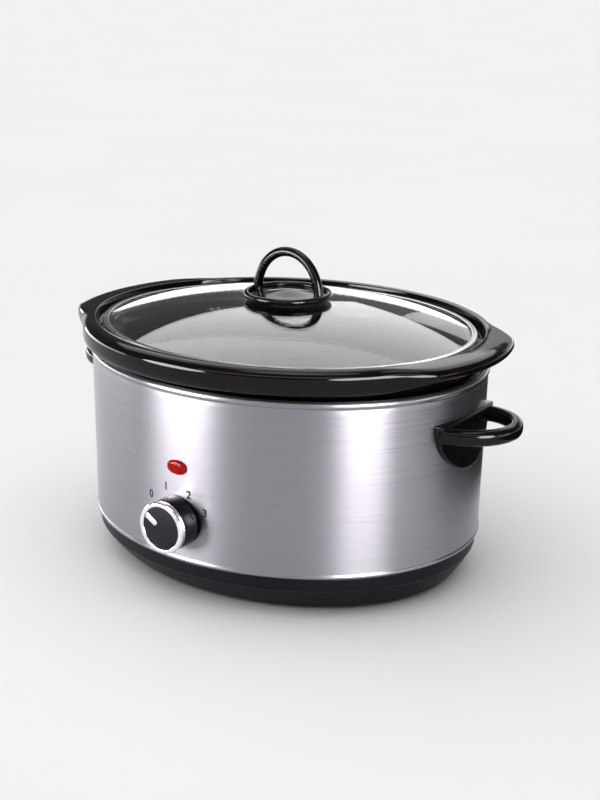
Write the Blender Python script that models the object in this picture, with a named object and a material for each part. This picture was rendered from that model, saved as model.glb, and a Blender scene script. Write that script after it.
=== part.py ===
"""Oval slow cooker: steel housing on a moulded base, lift-out glazed crock, domed glass lid, rotary control.

Metres, +Z up. The origin is on the resting plane, under the middle of the whole cooker's outline. The front,
with the control knob, faces -Y.
"""

import math

import bmesh
import bpy
from mathutils import Matrix, Vector

MM = 0.001

# Driving dimensions
HOUSING_HALF_LENGTH = 165.0 * MM
HOUSING_HALF_WIDTH = 141.4 * MM
BASE_HEIGHT = 33.6 * MM
STEEL_HEIGHT = 136.0 * MM
CROCK_OVERHANG = (3.8 * MM, 11.8 * MM)
CROCK_RIM_RISE = 24.4 * MM
EAR_REACH = 13.4 * MM
EAR_FULL = 0.32
EAR_NONE = 0.58
LID_INSET = (14.4 * MM, 18.3 * MM)
LID_DOME_RISE = 18.9 * MM
LID_HANDLE_HEIGHT = 40.8 * MM
SIDE_HANDLE_REACH = 40.6 * MM
SIDE_HANDLE_PLATE_RADIUS = 41.5 * MM
KNOB_PROTRUSION = 21.1 * MM
KNOB_RING_RADIUS = 20.2 * MM
KNOB_HEIGHT = 66.2 * MM
LENS_RISE = 42.4 * MM

# Fits and sheet sizes
CLEARANCE = 0.3 * MM
STEEL_SHEET = 0.8 * MM
BEAD_RADIUS = 2.8 * MM
CURL_WIDTH = 0.7 * MM
FLANGE_WIDTH = 8.0 * MM
TRAY_WALL = 2.5 * MM
FOOT_HEIGHT = 1.7 * MM
FOOT_SPREAD = 95.0 * MM
FOOT_SETBACK = 68.0 * MM

# Heating well, crock and what lies between the well and the housing
WELL_INSET = 16.0 * MM
WELL_DROP = 18.6 * MM
WELL_CORNER = 39.0 * MM
CROCK_INSET = 21.0 * MM
CROCK_DRAFT = 2.0 * MM
CROCK_FLOOR_GAP = 5.0 * MM
CROCK_CORNER = 36.0 * MM
CROCK_WALL = 9.0 * MM
HEATER_RISE = 38.0 * MM
HEATER_HEIGHT = 40.0 * MM
HEATER_THICKNESS = 1.5 * MM
CLAMP_THICKNESS = 1.0 * MM
INSULATION_THICKNESS = 3.0 * MM
INSULATION_OVERLAP = 6.0 * MM
SHIELD_INSET = 50.0 * MM
SHIELD_DROP = 10.0 * MM
BOLT_RADIUS = 2.5 * MM
LEAD_RADIUS = 1.0 * MM

# Lid
LID_GLASS = 3.4 * MM
LID_RIM_WALL = 0.8 * MM
LID_RIM_LIP = 0.6 * MM
LID_RIM_WIDTH = 4.8 * MM
DOME_POWER = 2.4
DISH_RADIUS = 35.4 * MM
DISH_RIM_RADIUS = 2.4 * MM
ARCH_RADIUS = 3.7 * MM
ARCH_INSET = 4.0 * MM
GASKET_THICKNESS = 1.2 * MM
LID_SCREW_RADIUS = 2.4 * MM

# Control: the knob's front is turned so that its pointer is at OFF
OFF_ANGLE = math.radians(148)
SHAFT_RADIUS = 3.0 * MM
COLLAR_RADIUS = 4.6 * MM
KNOB_RING_WIDTH = 3.8 * MM
KNOB_RING_DEPTH = 5.2 * MM
LENS_FLANGE = (17.2 * MM, 11.2 * MM)
LENS_STEM = (12.0 * MM, 8.0 * MM)
LENS_POWER = 2.2

# Side handles
LOOP_WIDTH = 10.0 * MM
LOOP_DEPTH = 12.0 * MM
LOOP_ROOT_Y = 34.5 * MM
LOOP_RISE = 1.0 * MM
LOOP_DROP = 8.0 * MM
PLATE_THICKNESS = 3.2 * MM
PLATE_LEDGE = 3.0 * MM
HANDLE_SCREW_RADIUS = 1.6 * MM

GLAND_HEIGHT = 51.6 * MM
GLAND_BORE = 3.6 * MM
GLAND_NECK = 6.0 * MM

# Derived heights
HOUSING_TOP = BASE_HEIGHT + STEEL_HEIGHT
BEAD_CENTRE = HOUSING_TOP - BEAD_RADIUS
WELL_TOP = BEAD_CENTRE + 0.9 * MM
CROCK_SEAT = WELL_TOP + CLEARANCE
RIM_TOP = HOUSING_TOP + CROCK_RIM_RISE
LID_SEAT = RIM_TOP - 8.3 * MM
LID_RIM_BOTTOM = LID_SEAT + CLEARANCE
LID_RIM_TOP = LID_RIM_BOTTOM + LID_GLASS + 2 * (LID_RIM_LIP + CLEARANCE)
GLASS_EDGE_TOP = LID_RIM_TOP - LID_RIM_LIP - CLEARANCE
DOME_TOP = GLASS_EDGE_TOP + LID_DOME_RISE
DISH_BOTTOM = DOME_TOP + GASKET_THICKNESS + 2 * CLEARANCE
LID_HANDLE_TOP = DOME_TOP + LID_HANDLE_HEIGHT
HANDLE_TOP = HOUSING_TOP - 24.6 * MM
LENS_HEIGHT = KNOB_HEIGHT + LENS_RISE
WELL_BOTTOM = KNOB_HEIGHT - WELL_DROP
CROCK_BOTTOM = WELL_BOTTOM + CROCK_FLOOR_GAP
HEATER_BOTTOM = WELL_BOTTOM + HEATER_RISE
HEATER_TOP = HEATER_BOTTOM + HEATER_HEIGHT
SHIELD_HEIGHT = WELL_BOTTOM - SHIELD_DROP
FRONT_REACH = HOUSING_HALF_WIDTH + KNOB_PROTRUSION
BODY_Y = (FRONT_REACH - HOUSING_HALF_WIDTH - CROCK_OVERHANG[1]) / 2

OVAL_SEGMENTS = 40
ROUND_SEGMENTS = 20
HEATER_SPAN = (11, 49)
CLAMP_SPAN = (8, 12)

HOUSING = (HOUSING_HALF_LENGTH, HOUSING_HALF_WIDTH)
CROCK_RIM = (HOUSING_HALF_LENGTH + CROCK_OVERHANG[0], HOUSING_HALF_WIDTH + CROCK_OVERHANG[1])
LID = (CROCK_RIM[0] - LID_INSET[0], CROCK_RIM[1] - LID_INSET[1])
BASE_BOTTOM = (HOUSING_HALF_LENGTH - 15.0 * MM, HOUSING_HALF_WIDTH - 20.0 * MM)


def clear_scene():
    for obj in list(bpy.data.objects):
        bpy.data.objects.remove(obj, do_unlink=True)


def make_material(name, colour, roughness, metallic=0.0, transmission=0.0):
    material = bpy.data.materials.new(name)
    material.use_nodes = True
    shader = material.node_tree.nodes["Principled BSDF"]
    shader.inputs["Base Color"].default_value = (*colour, 1.0)
    shader.inputs["Roughness"].default_value = roughness
    shader.inputs["Metallic"].default_value = metallic
    shader.inputs["Transmission Weight"].default_value = transmission
    material.diffuse_color = (*colour, 1.0)
    material.roughness = roughness
    material.metallic = metallic
    return material


def make_empty(name, location, rotation=(0.0, 0.0, 0.0), parent=None):
    empty = bpy.data.objects.new(name, None)
    empty.location = location
    empty.rotation_euler = rotation
    empty.parent = parent
    bpy.context.collection.objects.link(empty)
    return empty


def finish_object(name, bm, material, parent, location=(0, 0, 0), rotation=(0, 0, 0)):
    """Turn a finished bmesh into a placed object that is smooth except at its real edges."""
    bmesh.ops.recalc_face_normals(bm, faces=bm.faces[:])
    mesh = bpy.data.meshes.new(name)
    bm.to_mesh(mesh)
    bm.free()
    if material is not None:
        mesh.materials.append(material)
    mesh.shade_smooth()
    mesh.set_sharp_from_angle(angle=math.radians(35))
    obj = bpy.data.objects.new(name, mesh)
    obj.parent = parent
    obj.location = location
    obj.rotation_euler = rotation
    bpy.context.collection.objects.link(obj)
    return obj


def loft(rings, hoop=False):
    """A bmesh through rings of equally many points: a hoop closes on itself, else both ends get caps."""
    bm = bmesh.new()
    loops = [[bm.verts.new(point) for point in ring] for ring in rings]
    pairs = list(zip(loops, loops[1:]))
    if hoop:
        pairs.append((loops[-1], loops[0]))
    for lower, upper in pairs:
        for i in range(len(lower)):
            j = (i + 1) % len(lower)
            bm.faces.new((lower[i], lower[j], upper[j], upper[i]))
    if not hoop:
        bm.faces.new(loops[0])
        bm.faces.new(loops[-1])
    return bm


def oval_ring(half_length, half_width, z, segments=OVAL_SEGMENTS):
    angles = (2 * math.pi * i / segments for i in range(segments))
    return [Vector((half_length * math.cos(a), half_width * math.sin(a), z)) for a in angles]


def grown(oval, grow, z):
    """One ring of an oval profile: the oval's two half sizes, both larger by grow."""
    return oval_ring(oval[0] + grow, oval[1] + grow, z)


def round_ring(radius, z, segments=ROUND_SEGMENTS):
    return oval_ring(radius, radius, z, segments)


def arc(centre, radius, start, end, steps):
    """Points of an arc in a profile plane, angles in degrees, both ends included."""
    angles = [math.radians(start + (end - start) * i / steps) for i in range(steps + 1)]
    return [(centre[0] + radius * math.cos(a), centre[1] + radius * math.sin(a)) for a in angles]


def turned(
    name,
    profile,
    material,
    parent,
    location=(0, 0, 0),
    rotation=(0, 0, 0),
    segments=ROUND_SEGMENTS,
    hoop=False,
):
    """A round piece turned about its local Z from (radius, z) points."""
    rings = [round_ring(radius, z, segments) for radius, z in profile]
    return finish_object(name, loft(rings, hoop), material, parent, location, rotation)


def block(name, size, centre, material, parent, bevel=0.0):
    bm = bmesh.new()
    bmesh.ops.create_cube(bm, size=1.0)
    bmesh.ops.scale(bm, vec=size, verts=bm.verts[:])
    if bevel:
        bmesh.ops.bevel(bm, geom=bm.edges[:], offset=bevel, segments=1, affect="EDGES")
    return finish_object(name, bm, material, parent, centre)


def rounded_outline(width, height, points, power=3.0):
    """A rounded rectangle around the origin, as (across, up) pairs."""
    outline = []
    for i in range(points):
        a = 2 * math.pi * i / points
        c, s = math.cos(a), math.sin(a)
        across = width / 2 * math.copysign(abs(c) ** (2 / power), c)
        up = height / 2 * math.copysign(abs(s) ** (2 / power), s)
        outline.append((across, up))
    return outline


def sweep(path, outline, up):
    """Rings of an outline carried along a path; the outline's second axis keeps to up."""
    rings = []
    for i, point in enumerate(path):
        ahead = path[min(i + 1, len(path) - 1)]
        behind = path[max(i - 1, 0)]
        along = (ahead - behind).normalized()
        side = along.cross(up).normalized()
        lift = side.cross(along).normalized()
        rings.append([point + side * u + lift * v for u, v in outline])
    return rings


def as_cutter(obj):
    obj.hide_render = True
    obj.display_type = "WIRE"
    return obj


def combine(target, other, operation):
    modifier = target.modifiers.new(f"{operation.lower()}_{other.name}", "BOOLEAN")
    modifier.operation = operation
    modifier.solver = "EXACT"
    modifier.object = as_cutter(other)


def bore(target, name, radius, start, end, parent, segments=16):
    """Cut a round hole between two points of the parent's frame."""
    start, end = Vector(start), Vector(end)
    bm = loft([round_ring(radius, z, segments) for z in (0.0, (end - start).length)])
    turn = (end - start).to_track_quat("Z", "Y").to_matrix().to_4x4()
    bmesh.ops.transform(bm, matrix=Matrix.Translation(start) @ turn, verts=bm.verts[:])
    combine(target, finish_object(name, bm, None, parent), "DIFFERENCE")


def ease(value):
    """Smooth step from 0 to 1."""
    value = min(max(value, 0.0), 1.0)
    return value * value * (3 - 2 * value)


def housing_x(y, grow=0.0):
    """X of the housing's right wall at this y."""
    return (HOUSING[0] + grow) * math.sqrt(1 - (y / (HOUSING[1] + grow)) ** 2)


def housing_normal(y):
    x = housing_x(y)
    return Vector((x / HOUSING[0] ** 2, y / HOUSING[1] ** 2, 0)).normalized()


def build_housing(steel, cooker):
    top = arc((-BEAD_RADIUS + 1.2 * MM, BEAD_CENTRE), BEAD_RADIUS, -50, 210, 6)
    profile = [
        (-FLANGE_WIDTH, BASE_HEIGHT),
        (0.0, BASE_HEIGHT),
        (CURL_WIDTH, BASE_HEIGHT + 1.0 * MM),
        (CURL_WIDTH, BASE_HEIGHT + 2.4 * MM),
        (0.0, BASE_HEIGHT + 3.4 * MM),
        (0.0, top[0][1] - 0.8 * MM),
        *top,
        (-STEEL_SHEET, top[0][1] - 1.6 * MM),
        (-STEEL_SHEET, BASE_HEIGHT + STEEL_SHEET),
        (-FLANGE_WIDTH, BASE_HEIGHT + STEEL_SHEET),
    ]
    rings = [grown(HOUSING, grow, z) for grow, z in profile]
    housing = finish_object("outer_housing", loft(rings, hoop=True), steel, cooker)
    reach = 9 * MM
    front = (-HOUSING_HALF_WIDTH - reach, -HOUSING_HALF_WIDTH + reach)
    rear = (HOUSING_HALF_WIDTH - reach, HOUSING_HALF_WIDTH + reach)
    switch_ends = [(0, y, KNOB_HEIGHT) for y in front]
    gland_ends = [(0, y, GLAND_HEIGHT) for y in rear]
    bore(housing, "cut_switch", COLLAR_RADIUS + 0.4 * MM, *switch_ends, cooker)
    bore(housing, "cut_gland", GLAND_NECK + CLEARANCE, *gland_ends, cooker)
    window_size = [size + 2 * CLEARANCE for size in LENS_STEM]
    window = rounded_outline(*window_size, 16, power=LENS_POWER)
    rings = [[Vector((x, y, LENS_HEIGHT + z)) for x, z in window] for y in front]
    combine(housing, finish_object("cut_lens", loft(rings), None, cooker), "DIFFERENCE")
    for side, end in ((1, "right"), (-1, "left")):
        for y in (-LOOP_ROOT_Y, LOOP_ROOT_Y):
            place, normal = handle_screw_place(side, y)
            where = "front" if y < 0 else "rear"
            bore(
                housing,
                f"cut_{end}_{where}",
                HANDLE_SCREW_RADIUS + CLEARANCE,
                place - normal * 6 * MM,
                place + normal * 6 * MM,
                cooker,
                segments=12,
            )
    return housing


def build_base(plastic, rubber, cooker):
    wall = TRAY_WALL
    step = (HOUSING[0] - 3.0 * MM, HOUSING[1] - 3.0 * MM)
    step_z = 23.0 * MM
    bulge = ((BASE_BOTTOM[0] + step[0]) / 2 + 1.6 * MM, (BASE_BOTTOM[1] + step[1]) / 2 + 1.8 * MM)
    top = BASE_HEIGHT - CLEARANCE
    floor = FOOT_HEIGHT + CLEARANCE
    hub = BOLT_RADIUS + CLEARANCE
    lift = 7.0 * MM
    rings = [
        round_ring(hub, floor + lift, OVAL_SEGMENTS),
        round_ring(13 * MM, floor + lift, OVAL_SEGMENTS),
        round_ring(15 * MM, floor, OVAL_SEGMENTS),
        grown(BASE_BOTTOM, -3.4 * MM, floor),
        grown(BASE_BOTTOM, -0.6 * MM, floor + 0.9 * MM),
        grown(BASE_BOTTOM, 1.8 * MM, floor + 3.6 * MM),
        oval_ring(*bulge, 13.5 * MM),
        grown(step, 0.0, step_z - 0.6 * MM),
        grown(step, 0.8 * MM, step_z),
        grown(HOUSING, -1.2 * MM, top - 0.8 * MM),
        grown(HOUSING, -2.0 * MM, top),
        grown(HOUSING, -1.2 * MM - wall, top),
        grown(step, -wall, step_z),
        grown(BASE_BOTTOM, 1.0 * MM - wall, floor + 4.6 * MM),
        grown(BASE_BOTTOM, -2.0 * MM - wall, floor + wall),
        round_ring(15 * MM + wall, floor + wall, OVAL_SEGMENTS),
        round_ring(15 * MM, floor + lift + wall, OVAL_SEGMENTS),
        round_ring(hub, floor + lift + wall, OVAL_SEGMENTS),
    ]
    tray = finish_object("base_tray", loft(rings, hoop=True), plastic, cooker)
    slot_x = [(-2 + i) * 16 * MM for i in range(5)]
    for row, y in (("front", -48 * MM), ("rear", 42 * MM)):
        slots = bmesh.new()
        for x in slot_x:
            made = bmesh.ops.create_cube(slots, size=1.0)["verts"]
            bmesh.ops.scale(slots, vec=(5 * MM, 24 * MM, 12 * MM), verts=made)
            bmesh.ops.translate(slots, vec=(x, y, floor), verts=made)
        combine(tray, finish_object(f"cut_vents_{row}", slots, None, cooker), "DIFFERENCE")
    stem = 3.2 * MM
    for index, (sx, sy) in enumerate(((-1, -1), (1, -1), (1, 1), (-1, 1)), start=1):
        place = (sx * FOOT_SPREAD, sy * FOOT_SETBACK, 0)
        above = (*place[:2], 9 * MM)
        bore(tray, f"cut_foot_{index}", stem + CLEARANCE, place, above, cooker, segments=12)
        foot = [
            (8.0 * MM, 0.0),
            (8.0 * MM, FOOT_HEIGHT),
            (stem, FOOT_HEIGHT),
            (stem, floor + wall + CLEARANCE),
            (4.8 * MM, floor + wall + CLEARANCE),
            (4.8 * MM, floor + wall + 1.6 * MM),
        ]
        turned(f"foot_{index}", foot, rubber, cooker, place, segments=12)
    return tray


def build_heating(galvanised, mica, fibre, fastener, cooker):
    inset, sheet = WELL_INSET, STEEL_SHEET
    hub = BOLT_RADIUS + CLEARANCE
    bend_z = WELL_BOTTOM + WELL_CORNER
    outer = arc((-inset - WELL_CORNER, bend_z), WELL_CORNER, -90, 0, 3)
    inner = arc((-inset - WELL_CORNER, bend_z), WELL_CORNER - sheet, 0, -90, 3)
    flange = -(2 * BEAD_RADIUS - 1.2 * MM) - CLEARANCE
    rings = [round_ring(hub, WELL_BOTTOM, OVAL_SEGMENTS)]
    rings += [grown(HOUSING, grow, z) for grow, z in outer]
    rings += [
        grown(HOUSING, -inset, WELL_TOP - sheet),
        grown(HOUSING, flange, WELL_TOP - sheet),
        grown(HOUSING, flange, WELL_TOP),
        grown(HOUSING, -inset - sheet, WELL_TOP),
    ]
    rings += [grown(HOUSING, grow, z) for grow, z in inner]
    rings.append(round_ring(hub, WELL_BOTTOM + sheet, OVAL_SEGMENTS))
    finish_object("heating_well", loft(rings, hoop=True), galvanised, cooker)

    heater_in = -inset + CLEARANCE
    heater_out = heater_in + HEATER_THICKNESS
    clamp_in = heater_out + CLEARANCE
    clamp_out = clamp_in + CLAMP_THICKNESS
    wrap_in = clamp_out + CLEARANCE
    heater = ((heater_in, HEATER_BOTTOM), (heater_out, HEATER_TOP))
    clamp = ((clamp_in, HEATER_BOTTOM + 10 * MM), (clamp_out, HEATER_TOP - 10 * MM))
    band_arc("heater_band", *heater, HEATER_SPAN, mica, cooker)
    band_arc("band_clamp", *clamp, CLAMP_SPAN, fastener, cooker)
    low, high = HEATER_BOTTOM - INSULATION_OVERLAP, HEATER_TOP + INSULATION_OVERLAP
    wrap_out = wrap_in + INSULATION_THICKNESS
    profile = ((wrap_in, low), (wrap_out, low), (wrap_out, high), (wrap_in, high))
    rings = [grown(HOUSING, grow, z) for grow, z in profile]
    finish_object("insulation_wrap", loft(rings, hoop=True), fibre, cooker)

    shield = (HOUSING[0] - SHIELD_INSET, HOUSING[1] - SHIELD_INSET)
    base, lip = SHIELD_HEIGHT, 4.0 * MM
    rings = [
        round_ring(hub, base, OVAL_SEGMENTS),
        grown(shield, -1.5 * MM, base),
        grown(shield, 0.0, base + lip),
        grown(shield, -sheet, base + lip),
        grown(shield, -2.0 * MM - sheet, base + sheet),
        round_ring(hub, base + sheet, OVAL_SEGMENTS),
    ]
    finish_object("heat_shield", loft(rings, hoop=True), galvanised, cooker)

    head = WELL_BOTTOM + sheet + CLEARANCE
    pocket = FOOT_HEIGHT + CLEARANCE + 7.0 * MM
    bolt = [
        (BOLT_RADIUS, 2.6 * MM),
        (BOLT_RADIUS, head),
        (7.0 * MM, head),
        (7.0 * MM, head + 1.0 * MM),
        (4.6 * MM, head + 2.0 * MM),
    ]
    turned("tie_bolt", bolt, fastener, cooker, segments=16)
    washer_top = pocket - CLEARANCE
    washer_low = washer_top - 1.0 * MM
    hole = BOLT_RADIUS + CLEARANCE
    washer = [(hole, washer_low), (8.0 * MM, washer_low), (8.0 * MM, washer_top), (hole, washer_top)]
    turned("tie_washer", washer, fastener, cooker, segments=16, hoop=True)
    nut_top = washer_low - CLEARANCE
    nut_low = nut_top - 3.4 * MM
    nut_hole = hole / math.cos(math.radians(30))
    nut = [(nut_hole, nut_low), (5.2 * MM, nut_low), (5.2 * MM, nut_top), (nut_hole, nut_top)]
    turned("tie_nut", nut, fastener, cooker, segments=6, hoop=True)


def band_arc(name, inner_low, outer_high, span, material, cooker):
    """Part of an oval hoop of rectangular section, from one of the oval's segment corners to another."""
    (inner, low), (outer, high) = inner_low, outer_high
    hoops = [grown(HOUSING, g, z) for g, z in ((inner, low), (outer, low), (outer, high), (inner, high))]
    rings = [[hoop[i % OVAL_SEGMENTS] for hoop in hoops] for i in range(span[0], span[1] + 1)]
    finish_object(name, loft(rings), material, cooker)


def build_wiring(plastic, sleeve, glass, fastener, cooker):
    floor_top = FOOT_HEIGHT + CLEARANCE + TRAY_WALL
    block_low = floor_top + CLEARANCE
    block_size = (36 * MM, 16 * MM, 10.4 * MM)
    block_y = 78 * MM
    block_mid = block_low + block_size[2] / 2
    block("terminal_block", block_size, (0, block_y, block_mid), plastic, cooker, bevel=0.8 * MM)

    fuse_x, fuse_low, fuse_high, fuse_z = -25 * MM, 48 * MM, 64 * MM, WELL_BOTTOM - 4.0 * MM
    fuse = [(1.1 * MM, 0), (2.1 * MM, 1.2 * MM), (2.1 * MM, 14.8 * MM), (1.1 * MM, 16 * MM)]
    backwards = (math.radians(-90), 0, 0)
    turned("thermal_fuse", fuse, glass, cooker, (fuse_x, fuse_low, fuse_z), backwards, segments=12)
    outer_half = [(2.4, -2.8), (3.2, -1.6), (3.2, 2.9), (5, 2.9)]
    inner_half = [(5, 3.7), (2.4, 3.7), (2.4, -1.2), (1.8, -2.4)]
    half = outer_half + inner_half
    clip_outline = half + [(-x, z) for x, z in reversed(half)]
    middle = (fuse_low + fuse_high) / 2
    ends = (middle - 3 * MM, middle + 3 * MM)
    rings = [[Vector((fuse_x + x * MM, y, fuse_z + z * MM)) for x, z in clip_outline] for y in ends]
    finish_object("fuse_clip", loft(rings), fastener, cooker)

    tab_y, tab_z = switch_tab_place()
    tab_end = tab_z - CLEARANCE
    heater_end = HEATER_BOTTOM - CLEARANCE
    heater_grow = -WELL_INSET + CLEARANCE + HEATER_THICKNESS / 2 + 0.5 * MM
    heater_x = 0.16 * (HOUSING[0] + heater_grow)
    heater_y = (HOUSING[1] + heater_grow) * math.sqrt(1 - (heater_x / (HOUSING[0] + heater_grow)) ** 2)
    low = block_mid
    rise = SHIELD_HEIGHT + 6.2 * MM
    block_front = block_y - block_size[1] / 2 - CLEARANCE
    block_rear = block_y + block_size[1] / 2 + CLEARANCE
    routes = {
        "lead_live": [
            (-10 * MM, block_front, low),
            (-14 * MM, block_front - 12 * MM, low),
            (-30 * MM, 0, low + 2 * MM),
            (-24 * MM, -70 * MM, low + 3 * MM),
            (-10 * MM, -115 * MM, low + 12 * MM),
            (-7 * MM, tab_y, tab_end - 10 * MM),
            (-7 * MM, tab_y, tab_end),
        ],
        "lead_switched": [
            (7 * MM, tab_y, tab_end),
            (7 * MM, tab_y + 2 * MM, tab_end - 3 * MM),
            (0, -110 * MM, rise),
            (-16 * MM, -70 * MM, rise),
            (-22 * MM, 0, rise),
            (fuse_x, fuse_low - 8 * MM, fuse_z),
            (fuse_x, fuse_low - CLEARANCE, fuse_z),
        ],
        "lead_fuse": [
            (fuse_x, fuse_high + CLEARANCE, fuse_z),
            (fuse_x + 1 * MM, fuse_high + 9 * MM, fuse_z),
            (-18 * MM, 100 * MM, rise),
            (-20 * MM, 118 * MM, rise + 10 * MM),
            (-heater_x, heater_y, heater_end - 18 * MM),
            (-heater_x, heater_y, heater_end),
        ],
        "lead_neutral": [
            (10 * MM, block_rear, low),
            (11 * MM, block_rear + 9 * MM, low),
            (16 * MM, 116 * MM, low + 16 * MM),
            (20 * MM, 121 * MM, rise + 8 * MM),
            (heater_x, heater_y, heater_end - 18 * MM),
            (heater_x, heater_y, heater_end),
        ],
    }
    for name, points in routes.items():
        curve = bpy.data.curves.new(name, "CURVE")
        curve.dimensions = "3D"
        curve.resolution_u = 2
        curve.bevel_depth = LEAD_RADIUS
        curve.bevel_resolution = 0
        curve.use_fill_caps = True
        spline = curve.splines.new("BEZIER")
        spline.bezier_points.add(len(points) - 1)
        for knot, place in zip(spline.bezier_points, points):
            knot.co = place
            knot.handle_left_type = "AUTO"
            knot.handle_right_type = "AUTO"
        curve.materials.append(sleeve)
        lead = bpy.data.objects.new(name, curve)
        lead.parent = cooker
        bpy.context.collection.objects.link(lead)

    s = CLEARANCE
    gland = [
        (GLAND_BORE, -3.6 * MM),
        (7.4 * MM, -3.6 * MM),
        (7.4 * MM, -STEEL_SHEET - 2 * s),
        (GLAND_NECK, -STEEL_SHEET - 2 * s),
        (GLAND_NECK, s),
        (9.0 * MM, s),
        (9.0 * MM, 2.4 * MM),
        (6.4 * MM, 3.6 * MM),
        (5.4 * MM, 9.0 * MM),
        (GLAND_BORE, 9.0 * MM),
    ]
    place = (0, HOUSING_HALF_WIDTH, GLAND_HEIGHT)
    turned("cord_gland", gland, plastic, cooker, place, backwards, segments=16, hoop=True)


def switch_tab_place():
    """Y and lowest Z of the rotary switch's two terminal tabs."""
    return -HOUSING_HALF_WIDTH + 14.2 * MM, KNOB_HEIGHT - 18.6 * MM


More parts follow.
